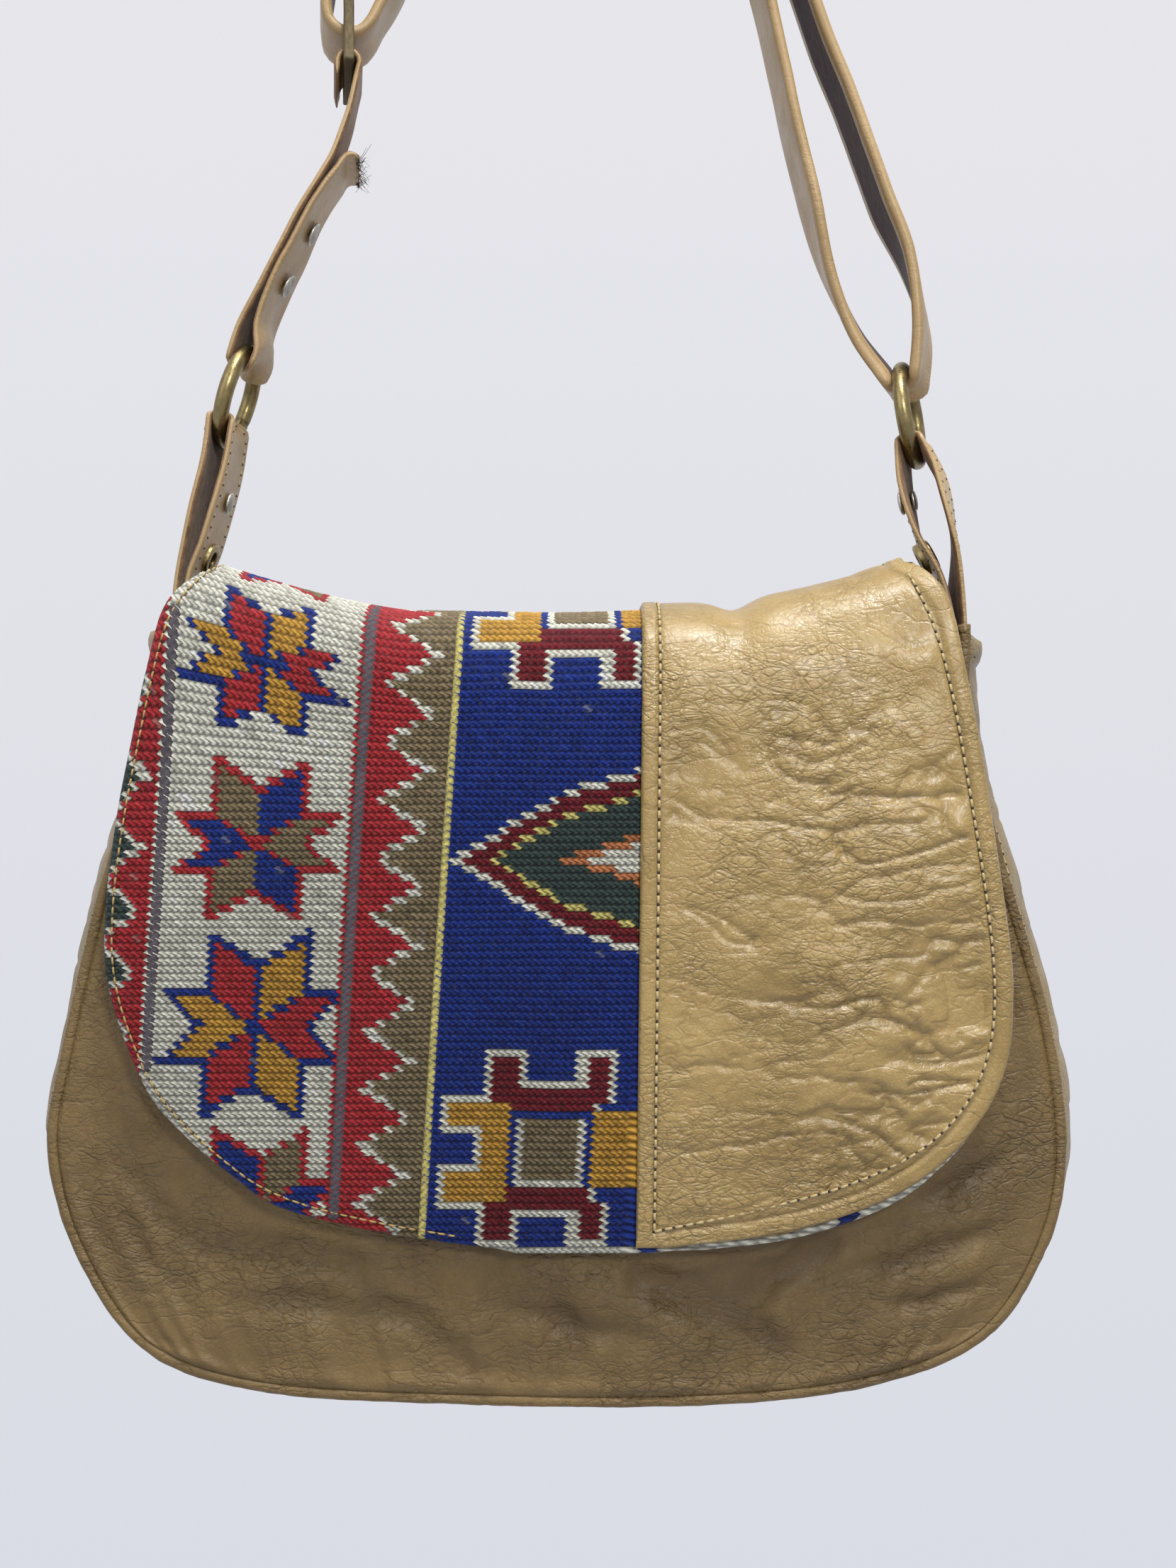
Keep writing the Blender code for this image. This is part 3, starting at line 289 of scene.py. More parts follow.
def slab(outer, inner):
    """Points and faces of a closed sheet between a grid and an even coarser, or equal, inner grid."""
    (rows, cols), (low_rows, low_cols) = outer.shape[:2], inner.shape[:2]
    step = (rows - 1) // (low_rows - 1)
    top, low = border(rows, cols, 0), border(low_rows, low_cols, rows * cols)
    count = len(low)
    faces = [tuple(f) for f in quads(rows, cols)]
    faces += [tuple(f) for f in quads(low_rows, low_cols, rows * cols)[:, ::-1]]
    for k in range(count):
        above = [top[(k * step + i) % len(top)] for i in range(step + 1)]
        faces.append((*above[::-1], low[k], low[(k + 1) % count]))
    a, b = rows // 2, cols // 2
    normal = np.cross(outer[a, b + 1] - outer[a, b], outer[a + 1, b] - outer[a, b])
    if normal @ (outer[a, b] - inner[a // step, b // step]) < 0:
        faces = [face[::-1] for face in faces]
    return np.vstack([outer.reshape(-1, 3), inner.reshape(-1, 3)]), faces


def tube(rings, closed=False):
    """Points and faces through rings of equal length, with flat caps unless it closes."""
    rings = np.asarray(rings, float)
    rows, cols = rings.shape[:2]
    faces = quads(rows, cols, wrap=True)
    if closed:
        last = (rows - 1) * cols + np.arange(cols)
        first = np.arange(cols)
        faces = np.vstack([faces, np.stack([last, np.roll(last, -1), np.roll(first, -1), first], -1)])
    faces = [tuple(f) for f in faces]
    if not closed:
        faces.append(tuple(range(cols))[::-1])
        faces.append(tuple(range((rows - 1) * cols, rows * cols)))
    return rings.reshape(-1, 3), faces


# Materials

def put(tree, socket, value):
    """Set a socket, or link it where the value is another node's socket."""
    if isinstance(value, bpy.types.NodeSocket):
        tree.links.new(value, socket)
    else:
        socket.default_value = value


def add_node(tree, kind, inputs=None, **settings):
    node = tree.nodes.new(kind)
    for key, value in settings.items():
        setattr(node, key, value)
    for key, value in (inputs or {}).items():
        put(tree, node.inputs[key], value)
    return node


class Nodes:
    """A material whose nodes are added one after another."""

    def __init__(self, name):
        self.made = bpy.data.materials.new(name)
        self.made.use_nodes = True
        self.tree = self.made.node_tree
        self.shader = self.tree.nodes["Principled BSDF"]
        self.place = self.add("ShaderNodeTexCoord").outputs["Object"]

    def add(self, kind, inputs=None, **settings):
        return add_node(self.tree, kind, inputs, **settings)

    def set(self, **values):
        for key, value in values.items():
            put(self.tree, self.shader.inputs[key.replace("_", " ")], value)

    def scaled(self, scale):
        return self.add("ShaderNodeMapping", {"Vector": self.place, "Scale": scale}).outputs["Vector"]

    def noise(self, scale, detail=3.0, roughness=0.55, vector=None):
        return self.add("ShaderNodeTexNoise", {"Vector": vector or self.place, "Scale": scale,
                                               "Detail": detail, "Roughness": roughness}).outputs["Fac"]

    def cells(self, scale, vector):
        return self.add("ShaderNodeTexVoronoi", {"Vector": vector, "Scale": scale},
                        feature="DISTANCE_TO_EDGE").outputs["Distance"]

    def ramp(self, value, low, high, to_low=0.0, to_high=1.0, smooth=False):
        return self.add("ShaderNodeMapRange", {"Value": value, "From Min": low, "From Max": high,
                                               "To Min": to_low, "To Max": to_high},
                        interpolation_type="SMOOTHSTEP" if smooth else "LINEAR").outputs["Result"]

    def mix(self, share, first, second):
        node = self.add("ShaderNodeMix", {"Factor": share}, data_type="RGBA")
        for key, value in (("A", first), ("B", second)):
            socket = [s for s in node.inputs if s.name == key and s.type == "RGBA"][0]
            put(self.tree, socket, (*value, 1.0) if isinstance(value, tuple) else value)
        return [s for s in node.outputs if s.type == "RGBA"][0]

    def sums(self, operation, first, second=0.0):
        return self.add("ShaderNodeMath", {0: first, 1: second}, operation=operation).outputs["Value"]

    def bump(self, height, strength, depth, normal=None):
        inputs = {"Height": height, "Strength": strength, "Distance": depth}
        if normal is not None:
            inputs["Normal"] = normal
        return self.add("ShaderNodeBump", inputs).outputs["Normal"]


def leather(name, light, dark, grain, shine, wrinkle, wax=0.12):
    """Grained, waxy leather: pebbles, thin wandering creases, cloudy colour, with painted shade in the
    crease floors and between the pebbles.
    """
    m = Nodes(name)
    shift = m.add("ShaderNodeTexNoise", {"Vector": m.place, "Scale": 70.0, "Detail": 4.0}).outputs["Color"]
    bent = m.add("ShaderNodeVectorMath", {0: shift, 1: (0.0040, 0.0040, 0.0040)},
                 operation="MULTIPLY").outputs["Vector"]
    bent = m.add("ShaderNodeVectorMath", {0: m.place, 1: bent}, operation="ADD").outputs["Vector"]
    flat = m.add("ShaderNodeMapping", {"Vector": bent, "Scale": (1.0, 1.0, 1.9)}).outputs["Vector"]

    def lines(scale, width, vector, detail=2.0):
        """0 along thin wandering lines, 1 away from them."""
        off = m.sums("ABSOLUTE", m.sums("SUBTRACT", m.noise(scale, detail, 0.5, vector), 0.5))
        return m.ramp(off, 0.0, width, smooth=True)

    pebbles = m.ramp(m.cells(560.0, bent), 0.0, 0.20, smooth=True)
    coarse = m.ramp(m.cells(260.0, flat), 0.0, 0.16, smooth=True)
    fine = m.ramp(m.noise(1500.0, 3.0), 0.3, 0.7)
    patch = m.ramp(m.noise(26.0, 2.0), 0.40, 0.62)
    net = m.sums("MINIMUM", m.ramp(m.cells(88.0, flat), 0.0, 0.085, smooth=True),
                 m.ramp(m.cells(170.0, flat), 0.0, 0.11, smooth=True))
    long_lines = lines(40.0, 0.026, flat, 3.0)
    # floor is painted shade in the floors of the crease net, patchy as the patch noise says.
    floor = m.sums("MULTIPLY", m.ramp(net, 0.0, 0.6, 1.0, 0.0), patch)
    # The fold attribute holds painted shade, which darkens the colour below.
    fold = m.add("ShaderNodeAttribute", attribute_name="fold").outputs["Fac"]
    cloud = m.ramp(m.noise(19.0, 5.0, 0.62), 0.32, 0.68)
    colour = m.mix(m.ramp(m.noise(64.0, 3.0), 0.45, 0.75, 0.0, 0.45), m.mix(cloud, dark, light),
                   (light[0] * 1.10, light[1] * 1.08, light[2] * 1.15))
    # deep is the dark tone used for painted shade in the creases, between pebbles and coarse grain and from
    # the fold attribute, and for the leather's own small dark specks (the last share).
    deep = (dark[0] * 0.50, dark[1] * 0.46, dark[2] * 0.40)
    for share in (m.sums("MULTIPLY", floor, 0.34 * wrinkle),
                  m.ramp(long_lines, 0.0, 0.6, 0.16 * wrinkle, 0.0),
                  m.ramp(pebbles, 0.0, 0.6, 0.12 * grain, 0.0),
                  m.sums("MULTIPLY", m.ramp(coarse, 0.0, 0.6, 0.30 * grain, 0.0), patch),
                  m.sums("MULTIPLY", fold, 0.55),
                  m.ramp(m.noise(520.0, 2.0), 0.64, 0.76, 0.0, 0.25)):
        colour = m.mix(share, colour, deep)
    normal = None
    for height, strength, depth in ((fine, 0.10 * grain, 0.0002),
                                    (m.noise(120.0, 2.0), 0.22 * grain, 0.0016),
                                    (pebbles, 0.20 * grain, 0.0003),
                                    (m.sums("MULTIPLY", coarse, patch), 0.36 * grain, 0.0004),
                                    (m.sums("MULTIPLY", net, patch), 0.55 * wrinkle, 0.0005),
                                    (long_lines, 0.40 * wrinkle, 0.0005)):
        normal = m.bump(height, strength, depth, normal)
    rough = m.ramp(m.noise(75.0, 3.0), 0.3, 0.7, shine - 0.08, shine + 0.12)
    m.set(Base_Color=colour, Roughness=rough, Normal=normal, Specular_IOR_Level=0.5,
          Coat_Weight=wax, Coat_Roughness=0.26)
    return m.made


def raw_leather(name, light, dark):
    """Flesh side or cut edge of leather: matt, fibrous."""
    m = Nodes(name)
    fibre = m.noise(260.0, 5.0, 0.7)
    colour = m.mix(m.ramp(fibre, 0.35, 0.68), dark, light)
    colour = m.mix(m.ramp(m.noise(1400.0, 2.0), 0.5, 0.8, 0.0, 0.4), colour, tuple(c * 1.5 for c in light))
    m.set(Base_Color=colour, Roughness=0.88, Normal=m.bump(fibre, 0.6, 0.0004),
          Specular_IOR_Level=0.25, Sheen_Weight=0.15)
    return m.made


def cloth(name, light, dark):
    """Plain weave of thin threads."""
    m = Nodes(name)
    weft, warp = [m.add("ShaderNodeTexWave", {"Vector": m.place, "Scale": 1400.0 / 6.28,
                                              "Distortion": 0.6, "Detail": 1.0},
                        bands_direction=way).outputs["Fac"] for way in "ZX"]
    threads = m.sums("MULTIPLY", weft, warp)
    colour = m.mix(m.ramp(m.noise(70.0, 4.0), 0.3, 0.7), dark, light)
    # Painted shade in the gaps between the threads.
    colour = m.mix(m.ramp(threads, 0.0, 0.3, 0.35, 0.0), colour, tuple(c * 0.5 for c in dark))
    m.set(Base_Color=colour, Roughness=0.92, Normal=m.bump(threads, 0.4, 0.0002),
          Specular_IOR_Level=0.2, Sheen_Weight=0.2)
    return m.made


def wool(name):
    """Yarn whose colour, with painted shade, is stored with each stitch, with twisted fibres and painted
    shade between them.
    """
    m = Nodes(name)
    wool_and_shade = m.add("ShaderNodeAttribute", attribute_name="wool").outputs["Color"]
    fibre = m.noise(900.0, 4.0, 0.7, m.scaled((1.0, 1.0, 2.6)))
    haze = m.ramp(m.noise(900.0, 3.0), 0.5, 0.8, 0.0, 0.07)
    colour = m.mix(haze, wool_and_shade, (0.50, 0.47, 0.42))
    # Painted shade between the twisted fibres, near black where the fibre noise is low.
    colour = m.mix(m.ramp(fibre, 0.28, 0.50, 0.45, 0.0), colour, (0.012, 0.010, 0.012))
    m.set(Base_Color=colour, Roughness=0.92, Normal=m.bump(fibre, 0.75, 0.0005),
          Specular_IOR_Level=0.22, Sheen_Weight=0.12, Sheen_Roughness=0.5)
    return m.made


def thread(name, colour):
    """Twisted sewing thread, also the painted shade on the floor of a needle's hole."""
    m = Nodes(name)
    twist = m.noise(2600.0, 2.0)
    m.set(Base_Color=m.mix(m.ramp(twist, 0.3, 0.7), tuple(c * 0.6 for c in colour), colour),
          Roughness=0.6, Normal=m.bump(twist, 0.5, 0.0001), Sheen_Weight=0.2)
    return m.made


def metal(name, light, dark, worn, dull=0.0):
    """Antiqued metal: dark in its hollows, worn brighter on its edges."""
    m = Nodes(name)
    tarnish = m.ramp(m.noise(190.0, 5.0, 0.65), 0.35, 0.66)
    colour = m.mix(tarnish, dark, light)
    edge = m.add("ShaderNodeNewGeometry").outputs["Pointiness"]
    colour = m.mix(m.ramp(edge, 0.51, 0.56, 0.0, 0.8), colour, worn)
    scratches = m.noise(700.0, 4.0, 0.6, m.scaled((1.0, 4.0, 1.0)))
    m.set(Base_Color=colour, Metallic=1.0, Roughness=m.ramp(scratches, 0.3, 0.7, 0.22 + dull, 0.46 + dull),
          Normal=m.bump(scratches, 0.12, 0.0002))
    return m.made


TAN = leather("tan_leather", linear(158, 134, 82), linear(132, 109, 61), 1.0, 0.44, 0.8)
# A darker copy of the tan leather: painted shade on the front panel and front piping under the flap.
PANEL_TAN_SHADED = leather("panel_leather_shaded", linear(134, 110, 66), linear(104, 83, 46), 1.0, 0.52, 1.0, 0.02)
FLAP_TAN = leather("flap_leather_tan", linear(176, 149, 92), linear(140, 115, 63), 1.0, 0.34, 0.8, 0.24)
STRAP_TAN = leather("strap_tan", linear(182, 154, 110), linear(158, 131, 88), 0.4, 0.42, 0.25)
FRAY = raw_leather("frayed_leather", linear(88, 62, 40), linear(42, 28, 18))
RAW = raw_leather("raw_leather", linear(150, 118, 84), linear(104, 76, 50))
DARK = raw_leather("strap_inside", linear(78, 56, 56), linear(52, 36, 38))
LINING_CLOTH = cloth("lining_cloth", linear(126, 104, 78), linear(96, 78, 58))
WOOL = wool("kilim_wool")
THREAD = thread("light_thread", linear(206, 184, 132))
GOLD_THREAD = thread("gold_thread", linear(190, 160, 90))
# Painted shade for the floors of needle holes.
HOLE_SHADE = thread("stitch_hole_shade", linear(58, 40, 24))
NICKEL = metal("worn_nickel", linear(168, 162, 150), linear(104, 96, 86), linear(214, 210, 200), 0.04)
BRASS = metal("antique_brass", linear(126, 112, 74), linear(66, 56, 38), linear(186, 168, 120))
IRON = metal("slider_metal", linear(66, 57, 42), linear(36, 31, 24), linear(120, 108, 84), 0.30)


# Flap

SECTION = catmull(FLAP_SECTION, 12)
FLAP_LENGTH = runs(SECTION)[-1]


def section(run):
    """Place on the flap's section at running lengths, and the direction out of its face."""
    y, z = np.moveaxis(along(SECTION, run), -1, 0)
    low, high = np.clip(run - 0.0012, 0, None), np.clip(run + 0.0012, None, FLAP_LENGTH)
    dy, dz = np.moveaxis(along(SECTION, high) - along(SECTION, low), -1, 0)
    size = np.hypot(dy, dz)
    return y, z, dz / size, -dy / size


def on_flap(x, run, height):
    """Points of the flap at a height above its inner face, as an array."""
    x, run, height = np.broadcast_arrays(x, run, np.asarray(height, float))
    y, z, out_y, out_z = section(run)
    rise = np.clip((np.abs(x) - 0.046) / (FLAP_REAR_HALF - 0.046), 0.0, 1.25) ** 1.35
    front = np.where(y < 0, ease((z - RAISE_FOOT) / (BODY_HEIGHT - RAISE_FOOT)), 1.0)
    rear = np.clip(run / RAISE_RUN, 0, 1)
    crest = ease((z - 0.222) / 0.02) * ease(run / 0.05)
    dip = -0.0034 * np.exp(-((x - 0.0560) / 0.0065) ** 2) * crest
    swell = 0.0010 * noise(x * 22, run * 16, 5) * ease(run / 0.06) * ease((FLAP_LENGTH - run) / 0.03)
    height = height + swell
    return np.stack([x, y + out_y * height, z + out_z * height
                     + CORNER_RAISE * rise * front * rear + dip], -1)


def edge_table(table):
    """Heights up one side of the flap, and how far the flap reaches there."""
    line = catmull(table, 8)
    order = np.argsort(line[:, 1])
    return line[order, 1], line[order, 0]


SIDES = {True: edge_table(FLAP_LEFT), False: edge_table(FLAP_RIGHT)}
SIDE_TOP = {True: FLAP_LEFT[0], False: FLAP_RIGHT[0]}


def flap_side(run, left, inset=0.0):
    """How far the flap reaches from its middle at running lengths."""
    y, z = section(run)[:2]
    top_x, top_z = SIDE_TOP[left]
    keys, values = SIDES[left]
    raised = z + CORNER_RAISE * ease((z - RAISE_FOOT) / (BODY_HEIGHT - RAISE_FOOT))
    front = np.interp(np.minimum(raised - inset * 1.6 * ease((0.120 - z) / 0.030), top_z), keys, values)
    rear = FLAP_REAR_HALF + (top_x - FLAP_REAR_HALF) * ease(run / 0.08)
    return np.maximum(np.where(y > 0, rear, front) - inset, 0.012)


def kilim_right(run, inset=0.0):
    """The kilim's right side: under the leather's edge, but showing below its foot."""
    z = section(run)[1]
    return flap_side(run, False, inset) - (0.0026 - inset) * ease((z - 0.068) / 0.016)


def overlay_edge(run):
    """The overlay's left edge at running lengths."""
    return OVERLAY_EDGE[0] + (OVERLAY_EDGE[1] - OVERLAY_EDGE[0]) * run / FLAP_LENGTH


WOOLS = {
    "ivory": linear(228, 226, 210), "blue": linear(24, 50, 134), "red": linear(182, 48, 54),
    "maroon": linear(116, 26, 36), "gold": linear(204, 154, 62), "khaki": linear(136, 120, 90),
    "straw": linear(216, 204, 120), "grey": linear(98, 92, 98), "green": linear(58, 74, 70),
    "orange": linear(206, 130, 82),
}
STARS = (        # middle (across, from the foot), half width, half height, outline and two wools
    (-0.0885, 0.1725, 0.0262, 0.0186, "blue", "red", "gold"),
    (-0.0872, 0.1250, 0.0262, 0.0238, "red", "khaki", "blue"),
    (-0.0848, 0.0697, 0.0290, 0.0292, "blue", "red", "gold"),
    (-0.0805, 0.0135, 0.0270, 0.0255, "red", "blue", "khaki"),
    (-0.0862, 0.2170, 0.0262, 0.0236, "red", "blue", "khaki"),
    (-0.0862, 0.2790, 0.0262, 0.0250, "blue", "red", "gold"),
)
STAR_LINE = 0.072
CELL = 0.0021
BURIED_CELL = 0.0060
ROW = 0.00232
STRIPES = (      # name, place across, width, rise, wool, length of a turn
    ("stripe_outer", -0.1165, 0.0038, 0.0011, "grey", 0.0021),
    ("stripe_inner", -0.0572, 0.0040, 0.0011, "grey", 0.0021),
    ("stripe_straw", -0.0300, 0.0027, 0.0010, "straw", 0.0024),
)


def star(a, b, outline, first, second):
    """Wool of an eight-pointed star at a place from -1 to 1, or None outside it."""
    ax, ay = abs(a), abs(b)
    line = STAR_LINE

    def inside(t):
        tall = ax <= 0.54 - t and ay <= 0.68 + 0.32 * ax / 0.54 - 1.2 * t
        wide = ay <= 0.37 - t and ax <= 0.60 + 0.40 * ay / 0.37 - 1.2 * t
        return tall or wide

    if not inside(0.0):
        return None
    if not inside(line) or ax < line * 0.55 and ay < 0.62 or ay < line * 0.35 and ax < 0.3:
        return outline
    if abs(ay - ax * 0.69) < line * 0.40 and ax < 0.5:
        return outline
    if ay > ax * 0.69:
        return first if a < 0 else second
    return second if a < 0 else first


HOOK_GOLD = ((0.0028, 0.0225, 0.0068, 0.0150), (0.0138, 0.0225, 0.0, 0.0150),
             (0.0465, 1.0, 0.0, 0.0120))
HOOK_RED = ((0.0165, 0.0235, 0.0150, 0.0272), (0.0440, 0.0520, 0.0150, 0.0272),
            (0.0225, 0.0475, 0.0110, 0.0185))
HOOK_EDGE = ((0.0004, 0.0225, 0.0044, 0.0174), (0.0114, 0.0225, 0.0, 0.0174),
             (0.0141, 0.0259, 0.0150, 0.0296), (0.0416, 0.0540, 0.0150, 0.0296),
             (0.0201, 0.0499, 0.0110, 0.0209))


def hook(a, b):
    """Wool of the hooked figure, a from its left end in metres, b up from its middle."""
    up = abs(b)
    middle = abs(a - 0.0345)

    def within(boxes):
        return any(x0 <= a <= x1 and y0 <= up <= y1 for x0, x1, y0, y1 in boxes)

    if middle < 0.0082 and up < 0.0086:
        return "khaki"
    if middle < 0.0102 and up < 0.0106:
        return "ivory"
    for boxes, name in ((HOOK_GOLD, "gold"), (HOOK_RED, "maroon"), (HOOK_EDGE, "ivory")):
        if within(boxes):
            return name
    return None


def medallion(a, b):
    """Wool of the half diamond, a from its point in metres, b from its middle."""
    opening = 0.62 * a if a < 0.034 else 0.0211 + 0.30 * (a - 0.034)
    for start, name in ((0.0230, "ivory"), (0.0205, "orange"), (0.0090, "green"), (0.0072, "straw"),
                        (0.0022, "maroon"), (0.0, "ivory")):
        if abs(b) <= opening - start:
            return name
    return None


def kilim_wool(u, foot):
    """Wool at a place of the kilim: u across, as at the top of its face, and height above its foot."""
    if foot < 0.0020:
        return "ivory"
    if u < -0.1186:
        tooth = abs((foot - 0.0668 + 0.0095) % 0.0190 - 0.0095)
        if u < -0.1240 - 1.2 * tooth:
            return "green"
        if u < -0.1212 - 1.2 * tooth:
            return "ivory"
        return "red"
    if u < -0.0592:
        for mx, mz, wide, tall, outline, first, second in STARS:
            a = (u - mx) / wide
            b = (foot - mz) / tall
            if abs(a) <= 1 and abs(b) <= 1:
                found = star(a, b, outline, first, second)
                if found:
                    return found
        return "ivory"
    if u < -0.0314:
        part = (foot + 0.0020) / 0.0175 % 1.0
        edge = -0.0503 + 0.0140 * (1.0 - abs(2.0 * part - 1.0))
        if u < edge - 0.0016:
            return "red"
        return "ivory" if u < edge + 0.0014 else "khaki"
    for middle in (0.0320, 0.2010):
        if abs(foot - middle) < 0.0310:
            found = hook(u + 0.0272, foot - middle)
            if found:
                return found
    found = medallion(u + 0.0284, foot - 0.1200)
    return found or "blue"


def band_lean(run):
    """How far the kilim's bands lean to the left by a running length."""
    return -BAND_LEAN * np.clip(run - 0.090, 0, None)


def open_cells(shut):
    """Which faces of a grid have a corner inside the flap's outline."""
    return ~(shut[:-1, :-1] & shut[:-1, 1:] & shut[1:, 1:] & shut[1:, :-1]).ravel()


def row_ends(shut, start):
    """Point numbers just past the first and last open point of each row of a grid."""
    rows, cols = shut.shape
    first = np.argmax(~shut, axis=1)
    last = cols - 1 - np.argmax(~shut[:, ::-1], axis=1)
    base = start + np.arange(rows) * cols
    return base + np.maximum(first - 1, 0), base + np.minimum(last + 1, cols - 1)


def kilim_rim(shut, small):
    """Faces from the rim of the weave's grid to the rim of its coarser inner grid."""
    (rows, cols), (small_rows, small_cols) = shut.shape, small.shape
    start = rows * cols
    rim = []
    sides = list(zip(row_ends(shut, 0), row_ends(small, start), (1, -1)))
    for r in range(small_rows - 1):
        for out, inn, way in sides:
            loop = [*out[3 * r:3 * r + 4], inn[r + 1], inn[r]]
            rim.append(tuple(loop[::way]))
    for r, rr, way in ((0, 0, 1), (rows - 1, small_rows - 1, -1)):
        for c in range(small_cols - 1):
            if small[rr, c] and small[rr, c + 1]:
                continue
            o = r * cols + 2 * c
            i = start + rr * small_cols + c
            rim.append((o, o + 1, o + 2, i + 1, i)[::way])
    return rim


def stitch_table(rows, cells):
    """Colour of each stitch, uneven from one to the next and from place to place."""
    jitter = RANDOM.normal(0.0, 1.0, (rows, len(cells), 2))
    table = np.zeros((rows, len(cells) - 1, 3))
    for r in range(rows):
        foot = FLAP_LENGTH - (r + 0.5) * FLAP_LENGTH / rows
        for c in range(len(cells) - 1):
            middle = (cells[c] + cells[c + 1]) / 2
            name = kilim_wool(middle, foot)
            if middle > 0.034:
                name = "blue" if (c + r // 5) % 9 == 0 else "ivory"
            base = np.array(WOOLS[name])
            tone = 1.0 + 0.11 * jitter[r, c, 0]
            if name in ("red", "blue", "khaki") and jitter[r, c, 1] > 2.45:
                base = base * 0.7 + np.array(WOOLS["ivory"]) * 0.14
            abrash = 1.0 + 0.10 * float(noise(middle * 30, foot * 40, 11))
            table[r, c] = base * max(tone, 0.6) * abrash
    return np.clip(table, 0.0, 0.9)


def kilim():
    """The weave: every stitch a slanted mound of its own wool, in rows."""
    rows = int(round(FLAP_LENGTH / ROW))
    cells = [-0.1460 + CELL * k for k in range(int(round((0.1460 + 0.0310) / CELL)) + 1)]
    while cells[-1] < 0.150:
        cells.append(cells[-1] + BURIED_CELL)
    cells = np.array(cells)
    lines = np.arange(rows * 3 + 1)
    run_of = np.linspace(0.0, FLAP_LENGTH, rows * 3 + 1)
    cols = (len(cells) - 1) * 2 + 1
    count = np.arange(cols)
    across = np.interp(count / 2.0, np.arange(len(cells)), cells)
    sub = lines % 3
    slant = np.where(sub == 1, -0.40, np.where(sub == 2, 0.40, 0.0)) * CELL
    x = across[None, :] + slant[:, None] + band_lean(run_of)[:, None]
    x = x + np.gradient(across)[None, :] * 0.10 * noise(count[None, :] * 1.7, lines[:, None] * 1.3, 3)
    height = np.where(count[None, :] % 2 == 1, 1.0, 0.10) * np.where(sub > 0, 1.0, 0.0)[:, None]
    lift = height * (0.86 + 0.14 * noise(count[None, :] * 0.9, (lines // 3)[:, None] * 2.1, 9))
    left, right = -flap_side(run_of, True)[:, None], kilim_right(run_of)[:, None]
    bounded = np.clip(x, left, right)
    shut = x != bounded
    run_grid = np.broadcast_to(run_of[:, None], x.shape)
    edge = np.minimum(bounded - left, right - bounded)
    near = ease(edge / 0.0016) * ease((FLAP_LENGTH - run_grid) / 0.0018)
    face = KILIM_FACE - 0.0002 + 0.0010 * lift * near - 0.0009 * (1 - near)
    face = np.where(bounded > overlay_edge(run_grid) + 0.002, np.minimum(face, KILIM_FACE + 0.0003), face)
    wander = 0.00030 * noise(bounded * 55, run_grid * 40, 13) * near
    outer = on_flap(bounded, run_grid + wander, face)
    inner = on_flap(bounded[::3, ::2], run_grid[::3, ::2], KILIM_INNER)
    kept, small = open_cells(shut), shut[::3, ::2]
    top = quads(*shut.shape)[kept]
    low = quads(*small.shape, shut.size)[:, ::-1][open_cells(small)]
    faces = [tuple(f) for f in (*top, *low)] + kilim_rim(shut, small)
    piece = make("flap_kilim_weave", np.vstack([outer.reshape(-1, 3), inner.reshape(-1, 3)]), faces, WOOL,
                 "flap")

    # Painted shade in the gaps between stitches: each corner's wool is darker where the weave's lift is low.
    painted_shade = 0.26 + 0.98 * np.clip(lift, 0, 1) ** 0.7
    r, c = np.divmod(np.flatnonzero(kept), cols - 1)
    base = stitch_table(rows, cells)[r // 3, c // 2]
    colours = np.stack([base * painted_shade[r + dr, c + dc][:, None]
                        for dr, dc in ((0, 0), (0, 1), (1, 1), (1, 0))], 1)
    rest = sum(len(f) for f in faces[len(top):])
    store_wool_and_shade(piece, np.vstack([colours.reshape(-1, 3), np.tile(np.array(WOOLS["ivory"]) * 0.7, (rest, 1))]),
         "CORNER")
    merged(piece)
    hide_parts("flap_kilim")


def cord_stripe(name, u, width, rise, wool_name, pitch):
    """A wrapped vertical stripe standing on the weave, with slanted turns."""
    run = np.linspace(0.0015, FLAP_LENGTH - 0.0015, int(FLAP_LENGTH / (pitch / 2)) - 2)
    t = np.linspace(-1.0, 1.0, 9)
    x = u + band_lean(run)[:, None] + t[None, :] * width / 2
    turn = (run[:, None] + t[None, :] * width * 0.35) / pitch
    ridge = 0.5 + 0.5 * np.cos(2 * pi * turn)
    dome = np.sqrt(np.clip(1 - t ** 2, 0, 1))[None, :]
    height = KILIM_FACE - 0.0003 + rise * dome * (0.72 + 0.28 * ridge)
    keep = (x[:, 0] > 0.0012 - flap_side(run, True)) & (x[:, -1] < flap_side(run, False) - 0.0012)
    rows = np.flatnonzero(keep)
    part = slice(rows[0], rows[-1] + 1)
    where = np.broadcast_to(run[:, None], x.shape)
    piece = make(name, *slab(on_flap(x, where, height)[part], on_flap(x, where, KILIM_FACE - 0.0008)[part]),
                 WOOL, "flap")
    # Painted shade: darker between the turns and down the stripe's sides, and half as bright on its
    # underside; mixed is the wool's own uneven tone.
    painted_shade = (0.45 + 0.55 * ridge * dome)[part].ravel()
    mixed = np.interp(noise(turn.round() * 0.7, 0 * turn, 21)[part].ravel(), [-1, 1], [0.85, 1.15])
    wool_and_shade = np.array(WOOLS[wool_name])[None, :] * (painted_shade * mixed)[:, None]
    store_wool_and_shade(piece, np.vstack([wool_and_shade, wool_and_shade * 0.5]), "POINT")


# Body of the bag

SEAM_FINE = catmull(SEAM, SEAM_STEPS)
SEAM_LEFT = SEAM_FINE[:LEFT_CORNER * SEAM_STEPS + 1]
SEAM_FOOT = SEAM_FINE[LEFT_CORNER * SEAM_STEPS:RIGHT_CORNER * SEAM_STEPS + 1]
SEAM_RIGHT = SEAM_FINE[RIGHT_CORNER * SEAM_STEPS:]


